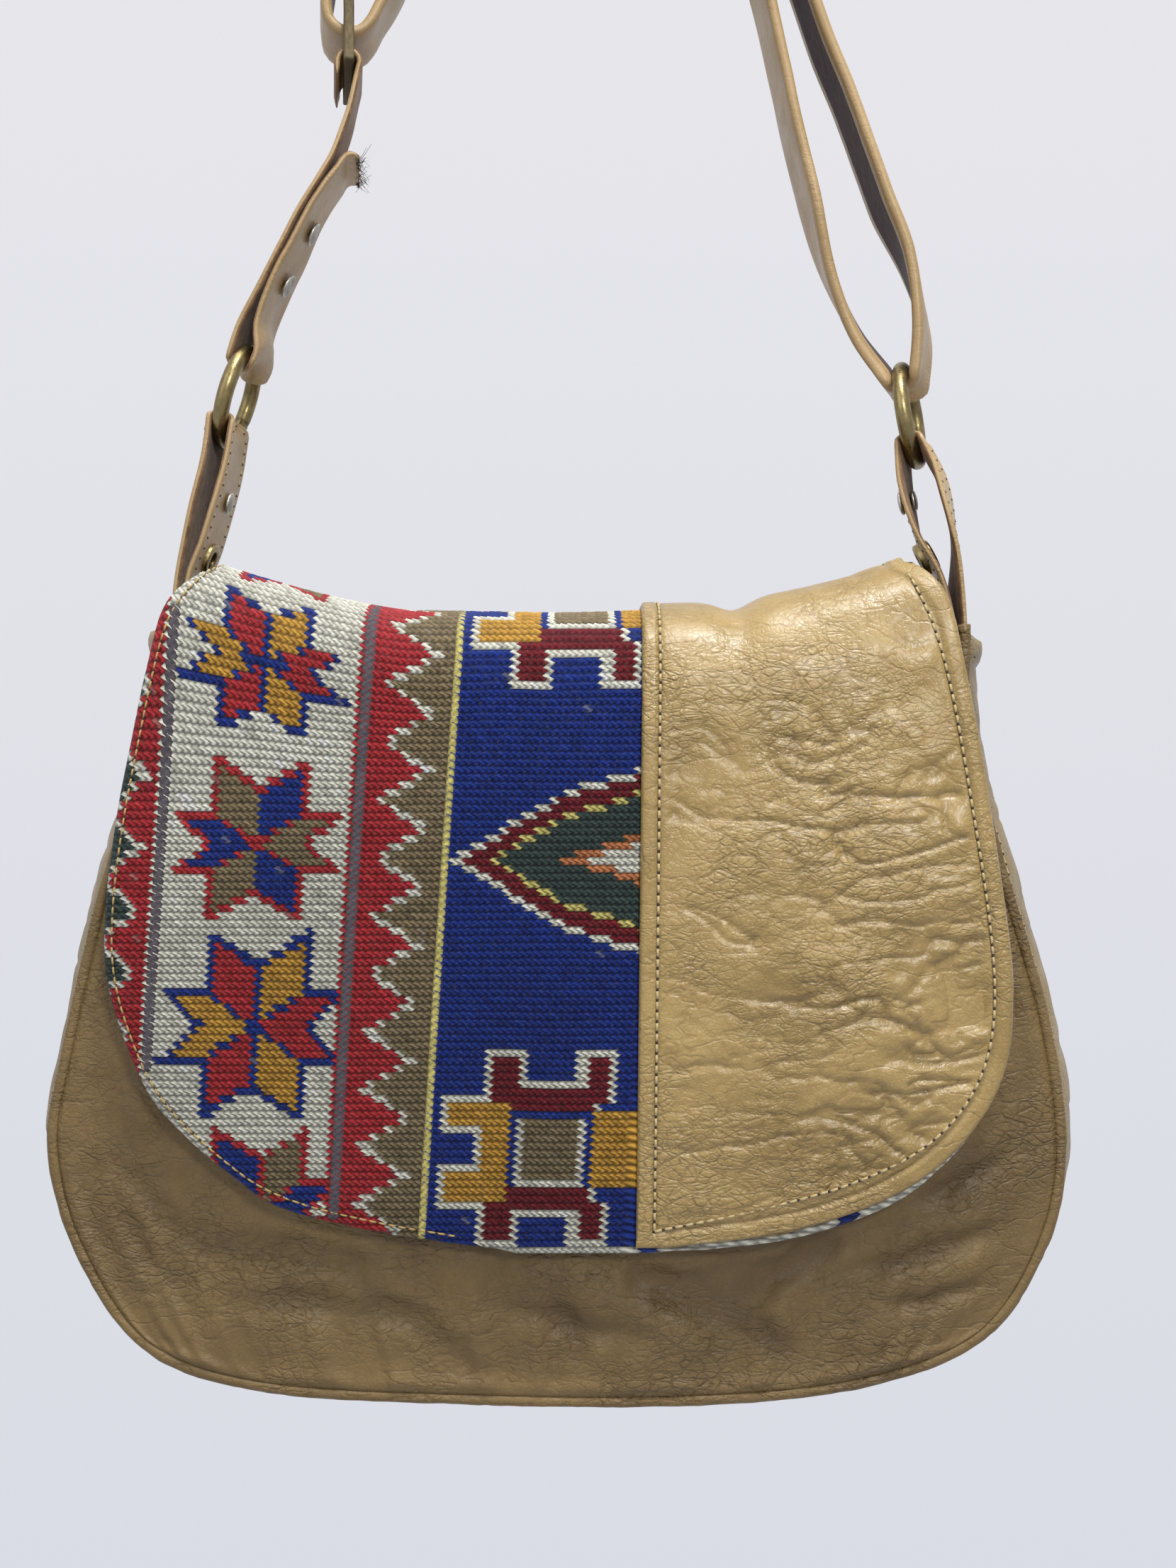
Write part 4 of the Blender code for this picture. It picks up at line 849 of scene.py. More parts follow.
def evenly(line, count):
    return along(line, np.linspace(0.0, runs(line)[-1], count + 1))


def back_y(z):
    return DEPTH_FOOT + (DEPTH_TOP - DEPTH_FOOT) * np.clip(z / BODY_HEIGHT, 0.0, 1.0)


def panel_grid(rows, cols, top_z, sag):
    """A panel's outline filled with a grid of (x, z), rows from its top edge to its foot."""
    line = np.vstack([evenly(SEAM_LEFT, rows), evenly(SEAM_FOOT, cols)[1:], evenly(SEAM_RIGHT, rows)[1:]])
    line = line - side_of(line) * (PIPING_RADIUS * 0.75)
    left, foot, right = line[:rows + 1], line[rows:rows + cols + 1], line[rows + cols:][::-1]
    for side in (left, right):
        keep = side[:, 1] < top_z
        first = np.argmax(keep)
        cut = side[first] + (side[first - 1] - side[first]) * (top_z - side[first, 1]) / (
            side[first - 1, 1] - side[first, 1])
        side[:] = evenly(np.vstack([cut, side[first:]]), rows)
    u = np.linspace(0, 1, cols + 1)[None, :, None]
    v = np.linspace(0, 1, rows + 1)[:, None, None]
    top = left[0] * (1 - u) + right[0] * u - np.concatenate([0 * u, sag * np.sin(pi * u)], -1)
    grid = top * (1 - v) + foot[None] * v + left[:, None] * (1 - u) + right[:, None] * u
    return grid - (left[0] * (1 - u) + right[0] * u) * (1 - v) - (foot[0] * (1 - u) + foot[-1] * u) * v


def swell_at(u, v):
    """Swell of a panel from 0 at its edges to 1, at shares of its width and of its height from the top."""
    return np.sin(pi * u) ** 0.7 * np.abs(np.sin(pi * (0.12 + 0.88 * v))) ** 0.8 * (v < 1)


def crease(x, z, start, end, width, depth):
    """A soft crease between two places, deepest in its middle."""
    start, end = np.array(start), np.array(end)
    run = end - start
    t = np.clip(((x - start[0]) * run[0] + (z - start[1]) * run[1]) / (run @ run), 0.0, 1.0)
    wander = 0.0016 * noise(t * 6, 0 * t, int(start[0] * 9000) + 50)
    off = np.hypot(x - start[0] - t * run[0], z - start[1] - t * run[1] - wander)
    return -depth * np.exp(-(off / width) ** 2) * np.sin(pi * np.clip(t, 0.02, 0.98)) ** 0.6


def clear_of(out):
    """Keep a panel's swell above the lining behind it, without a hard edge."""
    return 0.0004 + 0.5 * (out - 0.0004 + np.sqrt((out - 0.0004) ** 2 + 0.0010 ** 2))


FRONT_CREASES = (
    ((-0.118, 0.060), (-0.052, 0.050), 0.0045, 0.0016), ((-0.105, 0.040), (-0.040, 0.034), 0.0040, 0.0013),
    ((-0.070, 0.052), (-0.020, 0.012), 0.0040, 0.0010), ((-0.138, 0.082), (-0.100, 0.046), 0.0030, 0.0009),
    ((-0.140, 0.070), (-0.110, 0.030), 0.0024, 0.0008), ((0.020, 0.050), (0.052, 0.036), 0.0060, 0.0022),
    ((0.052, 0.040), (0.090, 0.060), 0.0045, 0.0020), ((0.050, 0.038), (0.078, 0.018), 0.0045, 0.0013),
    ((0.090, 0.048), (0.140, 0.060), 0.0034, 0.0013), ((0.100, 0.036), (0.145, 0.046), 0.0026, 0.0010),
    ((0.112, 0.070), (0.150, 0.088), 0.0024, 0.0010), ((0.000, 0.046), (0.010, 0.012), 0.0036, 0.0008),
    ((0.118, 0.024), (0.140, 0.040), 0.0020, 0.0007), ((-0.020, 0.040), (0.030, 0.026), 0.0040, 0.0009),
)


def panel(name, front):
    """Front or back panel: a soft sheet with folds, pulled in along its seam."""
    rows, cols = (150, 216) if front else (120, 180)
    grid = panel_grid(rows, cols, FRONT_TOP if front else BACK_TOP, FRONT_SAG if front else 0.0)
    x, z = grid[..., 0], grid[..., 1]
    u = np.linspace(0, 1, cols + 1)[None, :]
    v = np.linspace(0, 1, rows + 1)[:, None]
    near = np.minimum(np.minimum(u, 1 - u) * 0.30, (1 - v) * 0.20)
    soft = ease(near / 0.012)
    folds = 0.0020 * layered(x * 22, z * 30, 31) * soft
    wander = 2 * noise(x * 40, z * 40, 3)
    marks = np.maximum(cracks(x * 52 + wander, z * 84 + wander, 41, 0.07),
                       0.8 * cracks(x * 120 + z * 60, z * 90 - x * 40 + wander, 43, 0.09))
    fine = -0.00050 * marks * soft
    seam = np.arange(cols + 1)[None, :] * 0.30 / cols
    pucker = (0.0015 * noise(seam * 115, v * 2.2, 17) + 0.0008 * noise(seam * 260, v * 3.0, 18))
    pucker = pucker * ease((v - 0.60) / 0.25) * ease((1 - v) / 0.03)
    swell = swell_at(u, v)
    seam_roll = -0.0010 * np.exp(-((near - 0.0035) / 0.0028) ** 2)
    if front:
        deep = 3.0 * sum(crease(x, z, *each) for each in FRONT_CREASES) * soft
        dent = -0.0045 * np.exp(-((x - 0.050) / 0.013) ** 2 - ((z - 0.040) / 0.009) ** 2)
        low = 0.0034 * ease((0.070 - z) / 0.030)
        y = -(0.0072 + low) * swell - folds - fine - pucker - deep - dent + seam_roll
        y = -clear_of(-y)
        outer, inner = y, y + LEATHER
    else:
        wide = crease(x, z, (-0.120, 0.090), (-0.030, 0.060), 0.0070, 0.0030)
        wide = wide + crease(x, z, (0.030, 0.050), (0.120, 0.100), 0.0080, 0.0032)
        wide = wide + crease(x, z, (-0.060, 0.150), (0.050, 0.138), 0.0110, 0.0028)
        y = back_y(z) + 0.006 * swell + 1.2 * folds - fine + 0.8 * pucker - seam_roll + wide * soft
        y = back_y(z) + clear_of(y - back_y(z))
        outer, inner = y, y - LEATHER
    outer = np.stack([x, outer, z], -1)
    inner = np.stack([x, inner, z], -1)[::2, ::2]
    piece = make(name + "_skin", *slab(outer, inner), PANEL_TAN_SHADED if front else TAN)
    if front:
        # Painted shadow below the flap, made uneven by noise, with painted shade in the deep creases and the
        # fine marks.
        painted_shade = np.exp(-((x - 0.035) / 0.045) ** 2 - ((z - 0.036) / 0.018) ** 2)
        painted_shade = painted_shade * (0.75 + 0.35 * noise(x * 60, z * 60, 71))
        paint_shade(piece, np.clip(-deep / 0.0030, 0.0, 1.0) ** 1.5 * 0.7 + 0.25 * marks + 0.45 * painted_shade)
    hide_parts(name)


def seam_line(step):
    line = resample(SEAM_FINE, step)
    return line, side_of(line)


def piping(name, back):
    """The rolled ridge along a seam, slightly uneven as sewn leather is."""
    line, out = seam_line(0.0022)
    y = back_y(line[:, 1]) - LEATHER / 2 if back else np.full(len(line), LEATHER / 2)
    s = np.arange(len(line)) * 0.0022
    radius = PIPING_RADIUS * (0.94 + 0.05 * noise(s * 160, 0 * s, 61) + 0.05 * noise(s * 380, 0 * s, 62))
    rings = []
    for k in range(12):
        a = 2 * pi * k / 12
        rings.append(np.stack([line[:, 0] + out[:, 0] * radius * cos(a), y + radius * sin(a),
                               line[:, 1] + out[:, 1] * radius * cos(a)], -1))
    piece = make(name + "_roll", *tube(np.stack(rings, 1)), TAN if back else PANEL_TAN_SHADED)
    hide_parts(name)


def gusset():
    """The band round the sides and foot, with a rolled hem at each top end."""
    line, out = seam_line(0.0019)
    while (len(line) - 1) % 2:
        line, out = line[:-1], out[:-1]
    steps = 24
    t = np.linspace(0, 1, steps + 1)[None, :]
    z = line[:, 1][:, None]
    s = runs(line)[:, None]
    front = LEATHER / 2 + PIPING_RADIUS * 0.8
    back = back_y(z) - front
    swell = GUSSET_BULGE * np.sin(pi * t) ** 0.8
    ends = np.minimum(s, s[-1] - s)
    roll = np.sqrt(np.clip(1 - ((ends - 0.0045) / 0.0045) ** 2, 0, 1)) * (ends < 0.009)
    hem = 0.0022 * roll
    lip = -0.0016 * ease((0.0016 - ends) / 0.0016)
    folds = 0.0016 * layered(s * 38, t * 2.0, 71) * np.sin(pi * t) ** 0.5
    cross = -0.0008 * cracks(s * 75, t * 1.6, 75, 0.14) * np.sin(pi * t) ** 0.3
    stitch = -0.0003 * (np.exp(-((t - HOLE_SHARE) / 0.018) ** 2)
                        + np.exp(-((t - (1 - HOLE_SHARE)) / 0.018) ** 2))
    height = swell + hem + lip + folds + cross + stitch
    y = front + (back - front) * t
    outer = np.stack([line[:, :1] + out[:, :1] * height, y + 0 * z, z + out[:, 1:] * height], -1)
    low = swell - LEATHER + 0 * z
    inner = np.stack([line[:, :1] + out[:, :1] * low, y + 0 * z, z + out[:, 1:] * low], -1)[::2, ::2]
    piece = make("gusset_band", *slab(outer, inner), TAN)
    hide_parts("gusset")
    for side, share in (("front", HOLE_SHARE), ("back", 1 - HOLE_SHARE)):
        column = int(round(share * steps))
        stitches("gusset_thread_" + side, outer[4:-4, column], np.gradient(outer, axis=1)[4:-4, column],
                 np.gradient(outer, axis=0)[4:-4, column], SEAM_STITCH, THREAD, "root", sign=-1)


def add_tube(rings, points, faces):
    """Add a tube to lists of points and faces, and say how many faces it has."""
    more, loops = tube(rings)
    faces += [tuple(i + len(points) for i in loop) for loop in loops]
    points += list(more)
    return len(loops)


def stitches(name, line, across, ahead, length, made, body, sign=1, thick=0.00042):
    """A row of stitches on a surface: bowed threads that dip into holes whose dark floors are painted shade.
    """
    out = np.cross(across, ahead) * sign
    out /= np.linalg.norm(out, axis=1)[:, None]
    run = runs(line)
    count = max(int(run[-1] / length), 1)
    points, faces, slots = [], [], []
    shape = ((0.0, -1.1, 0.6), (0.10, 0.15, 0.95), (0.5, 0.75, 1.1), (0.90, 0.15, 0.95), (1.0, -1.1, 0.6))
    for k in range(count):
        where = (np.array([part for part, *_ in shape]) * 0.80 + 0.10 + k) * run[-1] / count
        base = np.stack([np.interp(where, run, line[:, j]) for j in range(3)], -1)
        up = np.stack([np.interp(where, run, out[:, j]) for j in range(3)], -1)
        tangent = base[-1] - base[0]
        tangent /= np.linalg.norm(tangent)
        rings = []
        for (part, rise, size), centre, normal in zip(shape, base, up):
            side = np.cross(tangent, normal)
            side /= np.linalg.norm(side)
            middle = centre + normal * rise * thick * 0.8
            rings.append([middle + (side * cos(2 * pi * a / 6) + normal * 0.8 * sin(2 * pi * a / 6))
                          * thick * size for a in range(6)])
        slots += [0] * add_tube(rings, points, faces)
        # Each hole is a shallow dimple past the stitch's end, coloured with painted shade.
        middle = base[-1] + (base[-1] - base[-2]) * 0.9
        side = np.cross(tangent, up[-1])
        hole = [middle + (tangent * 1.7 * cos(2 * pi * a / 8) + side * 1.1 * sin(2 * pi * a / 8)) * thick
                + up[-1] * 0.00005 for a in range(8)]
        start = len(points)
        points += hole + [middle - up[-1] * 0.0005]
        faces.append(tuple(range(start, start + 8)))
        faces += [(start + (a + 1) % 8, start + a, start + 8) for a in range(8)]
        slots += [1] * 9
    return make(name, points, faces, [made, HOLE_SHADE], body, slots)


def lining():
    """The cloth cup inside the bag, open at its top."""
    line, out = seam_line(0.004)
    line = line - out * LINING_INSET
    half, around = len(line) // 2, 132
    left, right = line[:half][::-1], line[half:]
    heights = np.concatenate([np.linspace(LINING_FLOOR, LINING_FLOOR + 0.012, 5),
                              np.linspace(LINING_FLOOR + 0.020, LINING_TOP, 34)])

    def outline_at(z, inset):
        low = np.interp(z, left[:, 1], left[:, 0]) + inset
        high = np.interp(z, right[:, 1], right[:, 0]) - inset
        front, back = LEATHER + 0.0006 + inset, back_y(z) - LEATHER - 0.0006 - inset
        r = 0.010
        corners = []
        for cx, cy, start in ((low + r, front + r, 180), (high - r, front + r, 270),
                              (high - r, back - r, 0), (low + r, back - r, 90)):
            corners += [(cx + r * cos(radians(start + a)), cy + r * sin(radians(start + a)))
                        for a in (0, 30, 60, 90)]
        outline = evenly(resample(np.array(corners + corners[:1]), 0.005), around)[:-1]
        middle = np.array([(low + high) / 2, (front + back) / 2])
        way = middle - outline
        way /= np.linalg.norm(way, axis=1)[:, None]
        s = np.arange(around) * 0.0053
        wave = 0.0010 + 0.0009 * layered(s * 30, np.full(around, z * 22), 91)
        outline = outline + way * np.clip(wave, 0, None)[:, None]
        return np.column_stack([outline, np.full(around, z)])

    rings = [outline_at(z, 0.0) for z in heights]
    rings += [outline_at(max(z, LINING_FLOOR + 0.0008), 0.0008) for z in heights[::-1]]
    piece = make("lining_cup", *tube(rings), LINING_CLOTH)
    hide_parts("lining")


def overlay_relief(x, foot, edge, edge_right):
    """Creases and pillows of the overlay's leather, and how deep in a crease each place lies, used as
    painted crease shade.
    """
    a, b = x * 1000, foot * 1000
    bend = 1.1 * layered(a / 40, b / 34, 5)
    mask = 0.50 + 0.50 * ease((x - 0.045) / 0.040)
    mask = mask * (0.30 + 0.70 * ease((0.178 - foot) / 0.03)) * (0.45 + 0.55 * ease((foot - 0.010) / 0.03))
    long_lines = cracks(a / 62 + 3.1, b / 13.0 + bend, 101, 0.055)
    short_lines = cracks(a / 21 + bend, b / 9.5, 111, 0.075)
    network = cracks(a / 7.5 + bend, b / 5.6, 121, 0.12)
    pillow = layered(a / 21, b / 10.5 + bend, 131)
    rows_soft = np.sin(b / 3.1 + 2.2 * bend + a / 26)
    near_edge = ease((0.030 - edge_right) / 0.022) * ease((edge_right - 0.006) / 0.003)
    relief = mask * (0.00105 * pillow - 0.00160 * long_lines - 0.00105 * short_lines * mask
                     - 0.00036 * network) + 0.00042 * near_edge * rows_soft * ease((0.19 - foot) / 0.03)
    soft = 0.0006 * layered(a / 34, b / 30, 141)
    inside = ease((edge - 0.0050) / 0.006)
    # fold is painted crease shade, strongest in the long creases.
    fold = mask * inside * (0.9 * long_lines ** 2 + 0.6 * short_lines ** 2 + 0.3 * network ** 2)
    return (relief + soft) * inside, fold


def overlay_sides():
    """Running lengths down the overlay, with its left and right side at each."""
    run = np.linspace(0.0004, FLAP_LENGTH - OVERLAY_INSET - 0.0007, 341)
    left = overlay_edge(run)
    return run, left, np.maximum(flap_side(run, False, OVERLAY_INSET), left + 0.010)


def overlay():
    """Leather half of the flap: turned edges, sewn border, and creases where the flap flexes."""
    run, left, right = overlay_sides()
    share = np.linspace(0, 1, 145)[None, :]
    share = share + 0.035 * np.sin(4 * pi * share) / pi
    x = left[:, None] + (right - left)[:, None] * share
    where = np.broadcast_to(run[:, None], x.shape)
    flat = np.stack([x.ravel(), where.ravel()], -1)
    left_line = np.stack([left, run], -1)[::12]
    right_line = np.vstack([np.stack([right, run], -1)[::4], [[left[-1], run[-1]]]])
    d_left = distance(flat, left_line).reshape(x.shape)
    d_right = distance(flat, right_line).reshape(x.shape)
    d = np.minimum(d_left, d_right)
    relief, fold = overlay_relief(x, FLAP_LENGTH - where, d, d_right)
    border = 0.00040 * ease((0.0052 - d) / 0.0008)
    edge = np.clip(1 - d / 0.0014, 0, 1)
    rolled = -0.0015 * (1 - np.sqrt(np.clip(1 - edge ** 2, 0, 1)))
    groove = -0.00055 * np.exp(-((d - BORDER_LINE) / 0.0008) ** 2)
    outer = on_flap(x, where, OVERLAY_FACE + relief + border + rolled + groove)
    inner = on_flap(x, where, OVERLAY_INNER)[::4, ::4]
    piece = make("flap_leather_skin", *slab(outer, inner), FLAP_TAN, "flap")
    # Painted shade in the overlay's creases and along the groove of its sewn border.
    paint_shade(piece, fold + 0.5 * np.exp(-((d - BORDER_LINE) / 0.0007) ** 2))
    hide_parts("flap_leather")


def flap_thread(name, line, base, made=THREAD, length=FLAP_STITCH, thick=0.00040):
    """A row of stitches along a line of (across, running length) on the flap."""
    line = resample(line, 0.0010)
    step = side_of(line) * 0.0004
    surface = on_flap(line[:, 0], line[:, 1], base)
    across = on_flap(line[:, 0] + step[:, 0], line[:, 1] + step[:, 1], base) - surface
    ahead = np.gradient(surface, axis=0)
    out = np.cross(across, ahead)
    sign = 1 if out[len(out) // 2, 1] < 0 else -1
    stitches(name, surface, across, ahead, length, made, "flap", sign, thick)


def flap_threads():
    """Stitches down the overlay's left edge, round its border and along the kilim's left side."""
    run = np.linspace(0.003, FLAP_LENGTH - 0.0045, 120)
    face = OVERLAY_FACE - 0.0001
    flap_thread("flap_thread_left", np.stack([overlay_edge(run) + BORDER_LINE, run], -1), face)
    run, left, right = overlay_sides()
    line = smooth_line(np.vstack([np.stack([right, run], -1)[6::3], [[left[-1] + 0.006, run[-1]]]]), 5)
    flap_thread("flap_thread_border", smooth_line(line - side_of(line) * BORDER_LINE, 5), face)
    run = np.linspace(0.004, FLAP_LENGTH - 0.0032, 160)
    line = smooth_line(np.stack([-flap_side(run, True), run], -1), 4)
    line = line + side_of(line) * GOLD_LINE
    keep = line[:, 0] < overlay_edge(line[:, 1]) - 0.002
    flap_thread("flap_thread_gold", line[keep], KILIM_FACE + 0.00035, GOLD_THREAD, GOLD_STITCH, 0.00030)


def smooth_line(line, width):
    kernel = np.ones(2 * width + 1) / (2 * width + 1)
    padded = np.vstack([np.repeat(line[:1], width, 0), line, np.repeat(line[-1:], width, 0)])
    made = np.stack([np.convolve(padded[:, k], kernel, "valid") for k in range(2)], -1)
    made[0], made[-1] = line[0], line[-1]
    return made


def backing():
    """Cloth lining on the underside of the flap."""
    rows, cols = 120, 96
    run = np.linspace(BACKING_INSET, FLAP_LENGTH - BACKING_INSET, rows + 1)
    left, right = -flap_side(run, True, BACKING_INSET), kilim_right(run, BACKING_INSET) - 0.0004
    x = left[:, None] + (right - left)[:, None] * np.linspace(0, 1, cols + 1)[None, :]
    where = np.broadcast_to(run[:, None], x.shape)
    under = 0.00025 * layered(x * 60, where * 60, 151)
    piece = make("flap_backing_cloth", *slab(on_flap(x, where, BACKING + 0.0004),
                                             on_flap(x, where, under)[::2, ::2]), LINING_CLOTH, "flap")
    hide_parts("flap_backing")


# Rings, straps and tabs

class Ring:
    """Where a round ring hangs: its centre, the way up in its plane, its own axis and its turn."""

    def __init__(self, centre, lean, yaw):
        self.centre = Vector(centre)
        self.up = Vector((sin(lean), cos(lean)))
        self.side = Vector((cos(lean), -sin(lean)))
        self.yaw = yaw

    def fold(self, way, thickness, steps=14):
        """Middle line of leather folded over the wire inside the ring, from its left to its right."""
        wire = self.centre + self.up * way * RING_RADIUS
        reach = RING_WIRE + GAP + thickness / 2
        return [wire - self.side * reach * cos(pi * k / steps)
                - self.up * way * reach * sin(pi * k / steps) for k in range(steps + 1)]

    def cup(self, point, way):
        """Curve a straight strap across its width, so that its fold follows the round wire."""
        flat = Vector((point.x, point.z)) - self.centre
        height = flat.dot(self.up) * way
        if height < 0.0 or height > RING_RADIUS + CUP_FADE:
            return point
        angle = (point.y - STRAP_Y) / RING_RADIUS
        if height <= RING_RADIUS:
            across, rise = height * sin(angle), height * cos(angle)
        else:
            share = 1.0 - float(ease((height - RING_RADIUS) / CUP_FADE))
            across = (point.y - STRAP_Y) * (1 - share) + RING_RADIUS * sin(angle) * share
            rise = height - share * RING_RADIUS * (1 - cos(angle))
        moved = self.centre + self.side * flat.dot(self.side) + self.up * way * rise
        return Vector((moved.x, STRAP_Y + across, moved.y))


def turned(point, middle, yaw):
    """Turn a point about an upright line, less and less away from its middle."""
    share = 1.0 - float(ease((abs(point.z - middle.y) - TWIST_HOLD) / TWIST_FADE))
    flat = Matrix.Rotation(yaw * share, 2) @ Vector((point.x - middle.x, point.y - STRAP_Y))
    return Vector((middle.x + flat.x, STRAP_Y + flat.y, point.z))


LEFT = Ring((-0.1085, 0.3303), radians(18.0), 0.0)
RIGHT = Ring((0.1178, 0.3239), radians(-8.0), radians(-20.0))

INNER_UP = ((-0.0610, 0.4580), (-0.0535, 0.4720), (-0.0475, 0.4950), (-0.0390, 0.5350),
            (-0.0230, 0.6050))
INNER_DOWN = ((0.0295, 0.6050), (0.0500, 0.5350), (0.0700, 0.4570), (0.0790, 0.4160),
              (0.0885, 0.3800), (0.0985, 0.3560))
OUTER_UP = ((0.1215, 0.3560), (0.1170, 0.3760), (0.1080, 0.3960), (0.0960, 0.4290),
            (0.0850, 0.4570), (0.0590, 0.5350), (0.0352, 0.6050))
OUTER_DOWN = ((-0.0285, 0.6050), (-0.0455, 0.5400), (-0.0600, 0.5130), (-0.0735, 0.4880),
              (-0.0782, 0.4640), (-0.0781, 0.4530), (-0.0752, 0.4491), (-0.0710, 0.4476),
              (-0.0668, 0.4490), (-0.0635, 0.4530))
CROWN = Vector((0.004, 0.6775))
CROWN_RADIUS = 0.0125
LONG_LEAF = ((-0.1040, 0.3560), (-0.0950, 0.3710), (-0.0857, 0.3897), (-0.0764, 0.4072),
             (-0.0710, 0.4223))
FRAYED_END = 0.4040
LEAF_SPREAD = ((0.0080, 0.351), (0.0060, 0.356), (0.0027, 0.362), (0.0026, 0.394), (0.0036, 0.404))
TAB_LINES = {
    -1: (((-0.1255, 0.268), (-0.1212, 0.290), (-0.1180, 0.305)),
         ((-0.1120, 0.300), (-0.1170, 0.282), (-0.1225, 0.266))),
    1: (((0.1330, 0.262), (0.1325, 0.280), (0.1290, 0.298)),
        ((0.1172, 0.295), (0.1210, 0.281), (0.1270, 0.267))),
}


def strap_section(thickness, turned_edge):
    """Points round a strap's section as (across, out), and which faces are its inner side."""
    half, r = STRAP_WIDTH / 2, thickness / 2
    flat = half - r
    upper = []
    for part in np.linspace(-1, 1, 11):
        pillow = 0.00022 * (1 - abs(part) ** 3) if turned_edge else 0.0
        ditch = -0.00016 * np.exp(-((abs(part) * flat - (half - TAB_LINE)) / 0.0007) ** 2)
        upper.append((part * flat, r + pillow + ditch))
    right = [(flat + r * sin(a), r * cos(a)) for a in np.linspace(0, pi, 6)[1:-1]]
    lower = [(part * flat, -r) for part in np.linspace(1, -1, 9)]
    left = [(-flat - r * sin(a), -r * cos(a)) for a in np.linspace(0, pi, 6)[1:-1]]
    points = upper + right + lower + left
    kinds = []
    for k, (across, out) in enumerate(points):
        after = points[(k + 1) % len(points)]
        level = (out + after[1]) / 2
        if turned_edge:
            kinds.append(int(level < -r * 0.9 and abs((across + after[0]) / 2) < half - 0.0042))
        else:
            kinds.append(int(level < -r * 0.55))
    return points, kinds


def strap(name, path, thickness, outside, bend, materials, replaced, seed, closed=False,
          turned_edge=False, sewn=None, wave=0.0002, end=None):
    """A flat strap on edge to the front along a line in the front view, then bent into place.

    outside is 1 where the grain is on the line's right hand, sewn says how far its stitches stay from
    its two ends, and end is the number of its ragged end's section.
    """
    path = np.asarray([tuple(p) for p in path], float)
    side = side_of(path)
    if closed:
        run = np.roll(path, -1, 0) - np.roll(path, 1, 0)
        side = np.stack([run[:, 1], -run[:, 0]], -1)
        side /= np.linalg.norm(side, axis=1)[:, None]
    section, kinds = strap_section(thickness, turned_edge)
    s = runs(path)
    drift = wave * layered(s * 60, 0 * s, seed)
    rings = []
    for k, (point, out) in enumerate(zip(path, side)):
        ring = []
        shrink = 1.0 if closed else min(1.0, 0.30 + min(k, len(path) - 1 - k) * 0.35)
        for index, (across, height) in enumerate(section):
            height = height * shrink + drift[k]
            ragged = 0.0
            if end is not None and k == end:
                ragged = 0.0013 * float(noise(index * 0.9, 3.0, seed + 3))
            place = Vector((point[0] + out[0] * height * outside, STRAP_Y + across,
                            point[1] + out[1] * height * outside + ragged))
            ring.append(tuple(bend(place)))
        rings.append(ring)
    points, faces = tube(rings, closed)
    count = len(section)
    slots = [kinds[f % count] for f in range((len(rings) - 1) * count)]
    slots += kinds if closed else [1, 1]
    if outside < 0:
        faces = [face[::-1] for face in faces]
    piece = make(name, points, faces, materials, slots=slots)
    flip_out(piece)
    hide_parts(replaced)
    if sewn:
        grid = np.asarray(rings)
        for label, across in (("front", -1), ("back", 1)):
            column = int(np.argmin([abs(a - across * (STRAP_WIDTH / 2 - TAB_LINE)) + 9 * (h < 0)
                                    for a, h in section]))
            line = grid[:, column]
            over = grid[:, column + 1] - line
            row_run = runs(line)
            keep = (row_run >= sewn[0]) & (row_run <= row_run[-1] - sewn[1])
            ahead = np.gradient(line, axis=0)
            row = stitches(name + "_thread_" + label, line[keep], over[keep], ahead[keep], TAB_STITCH,
                           THREAD, "root", -outside, 0.00036)


def long_strap():
    """The doubled strap: a closed loop from the slider over the crown to the right ring."""
    near = CROWN_RADIUS + STRAP_LEATHER / 2
    far = near + STRAP_LEATHER + GAP

    def crown(radius, start, end):
        return [CROWN + Vector((cos(radians(a)), sin(radians(a)))) * radius
                for a in np.linspace(start, end, 9)]

    fold = RIGHT.fold(1, STRAP_LEATHER)
    up = catmull([*INNER_UP, *crown(near, 162, 18), *INNER_DOWN, fold[0]], 12)
    down = catmull([fold[-1], *OUTER_UP, *crown(far, 18, 162), *OUTER_DOWN, INNER_UP[0]], 12)
    whole = np.vstack([up, [tuple(p) for p in fold[1:-1]], down])
    path = evenly(whole, 560)[:-1]

    def bend(point):
        if point.x > 0.05:
            return turned(RIGHT.cup(point, 1), RIGHT.centre, RIGHT.yaw)
        return turned(point, SLIDER, SLIDER_YAW)

    strap("long_strap_loop", path, STRAP_LEATHER, 1, bend, [STRAP_TAN, DARK], "long_strap", 210,
          closed=True, turned_edge=True)


def over_slider():
    """Middle line of the short strap's fold over the slider's lower bar."""
    wrap = sqrt(2) * SLIDER_BAR / 2 + GAP + TAB_LEATHER / 2
    return [SLIDER + Vector((cos(a), sin(a))) * wrap for a in np.linspace(0, pi, 11)]


def long_leaf():
    """Middle line of the short strap's long leaf, from the ring up to the slider."""
    return catmull([LEFT.fold(1, TAB_LEATHER)[0], *LONG_LEAF, over_slider()[0]], 12)


def bend_short(point):
    return turned(LEFT.cup(point, 1), SLIDER, SLIDER_YAW)


def leaf_spread(z):
    """Distance between the short strap's two leaves at heights."""
    return np.interp(z, [height for _, height in LEAF_SPREAD], [apart for apart, _ in LEAF_SPREAD])


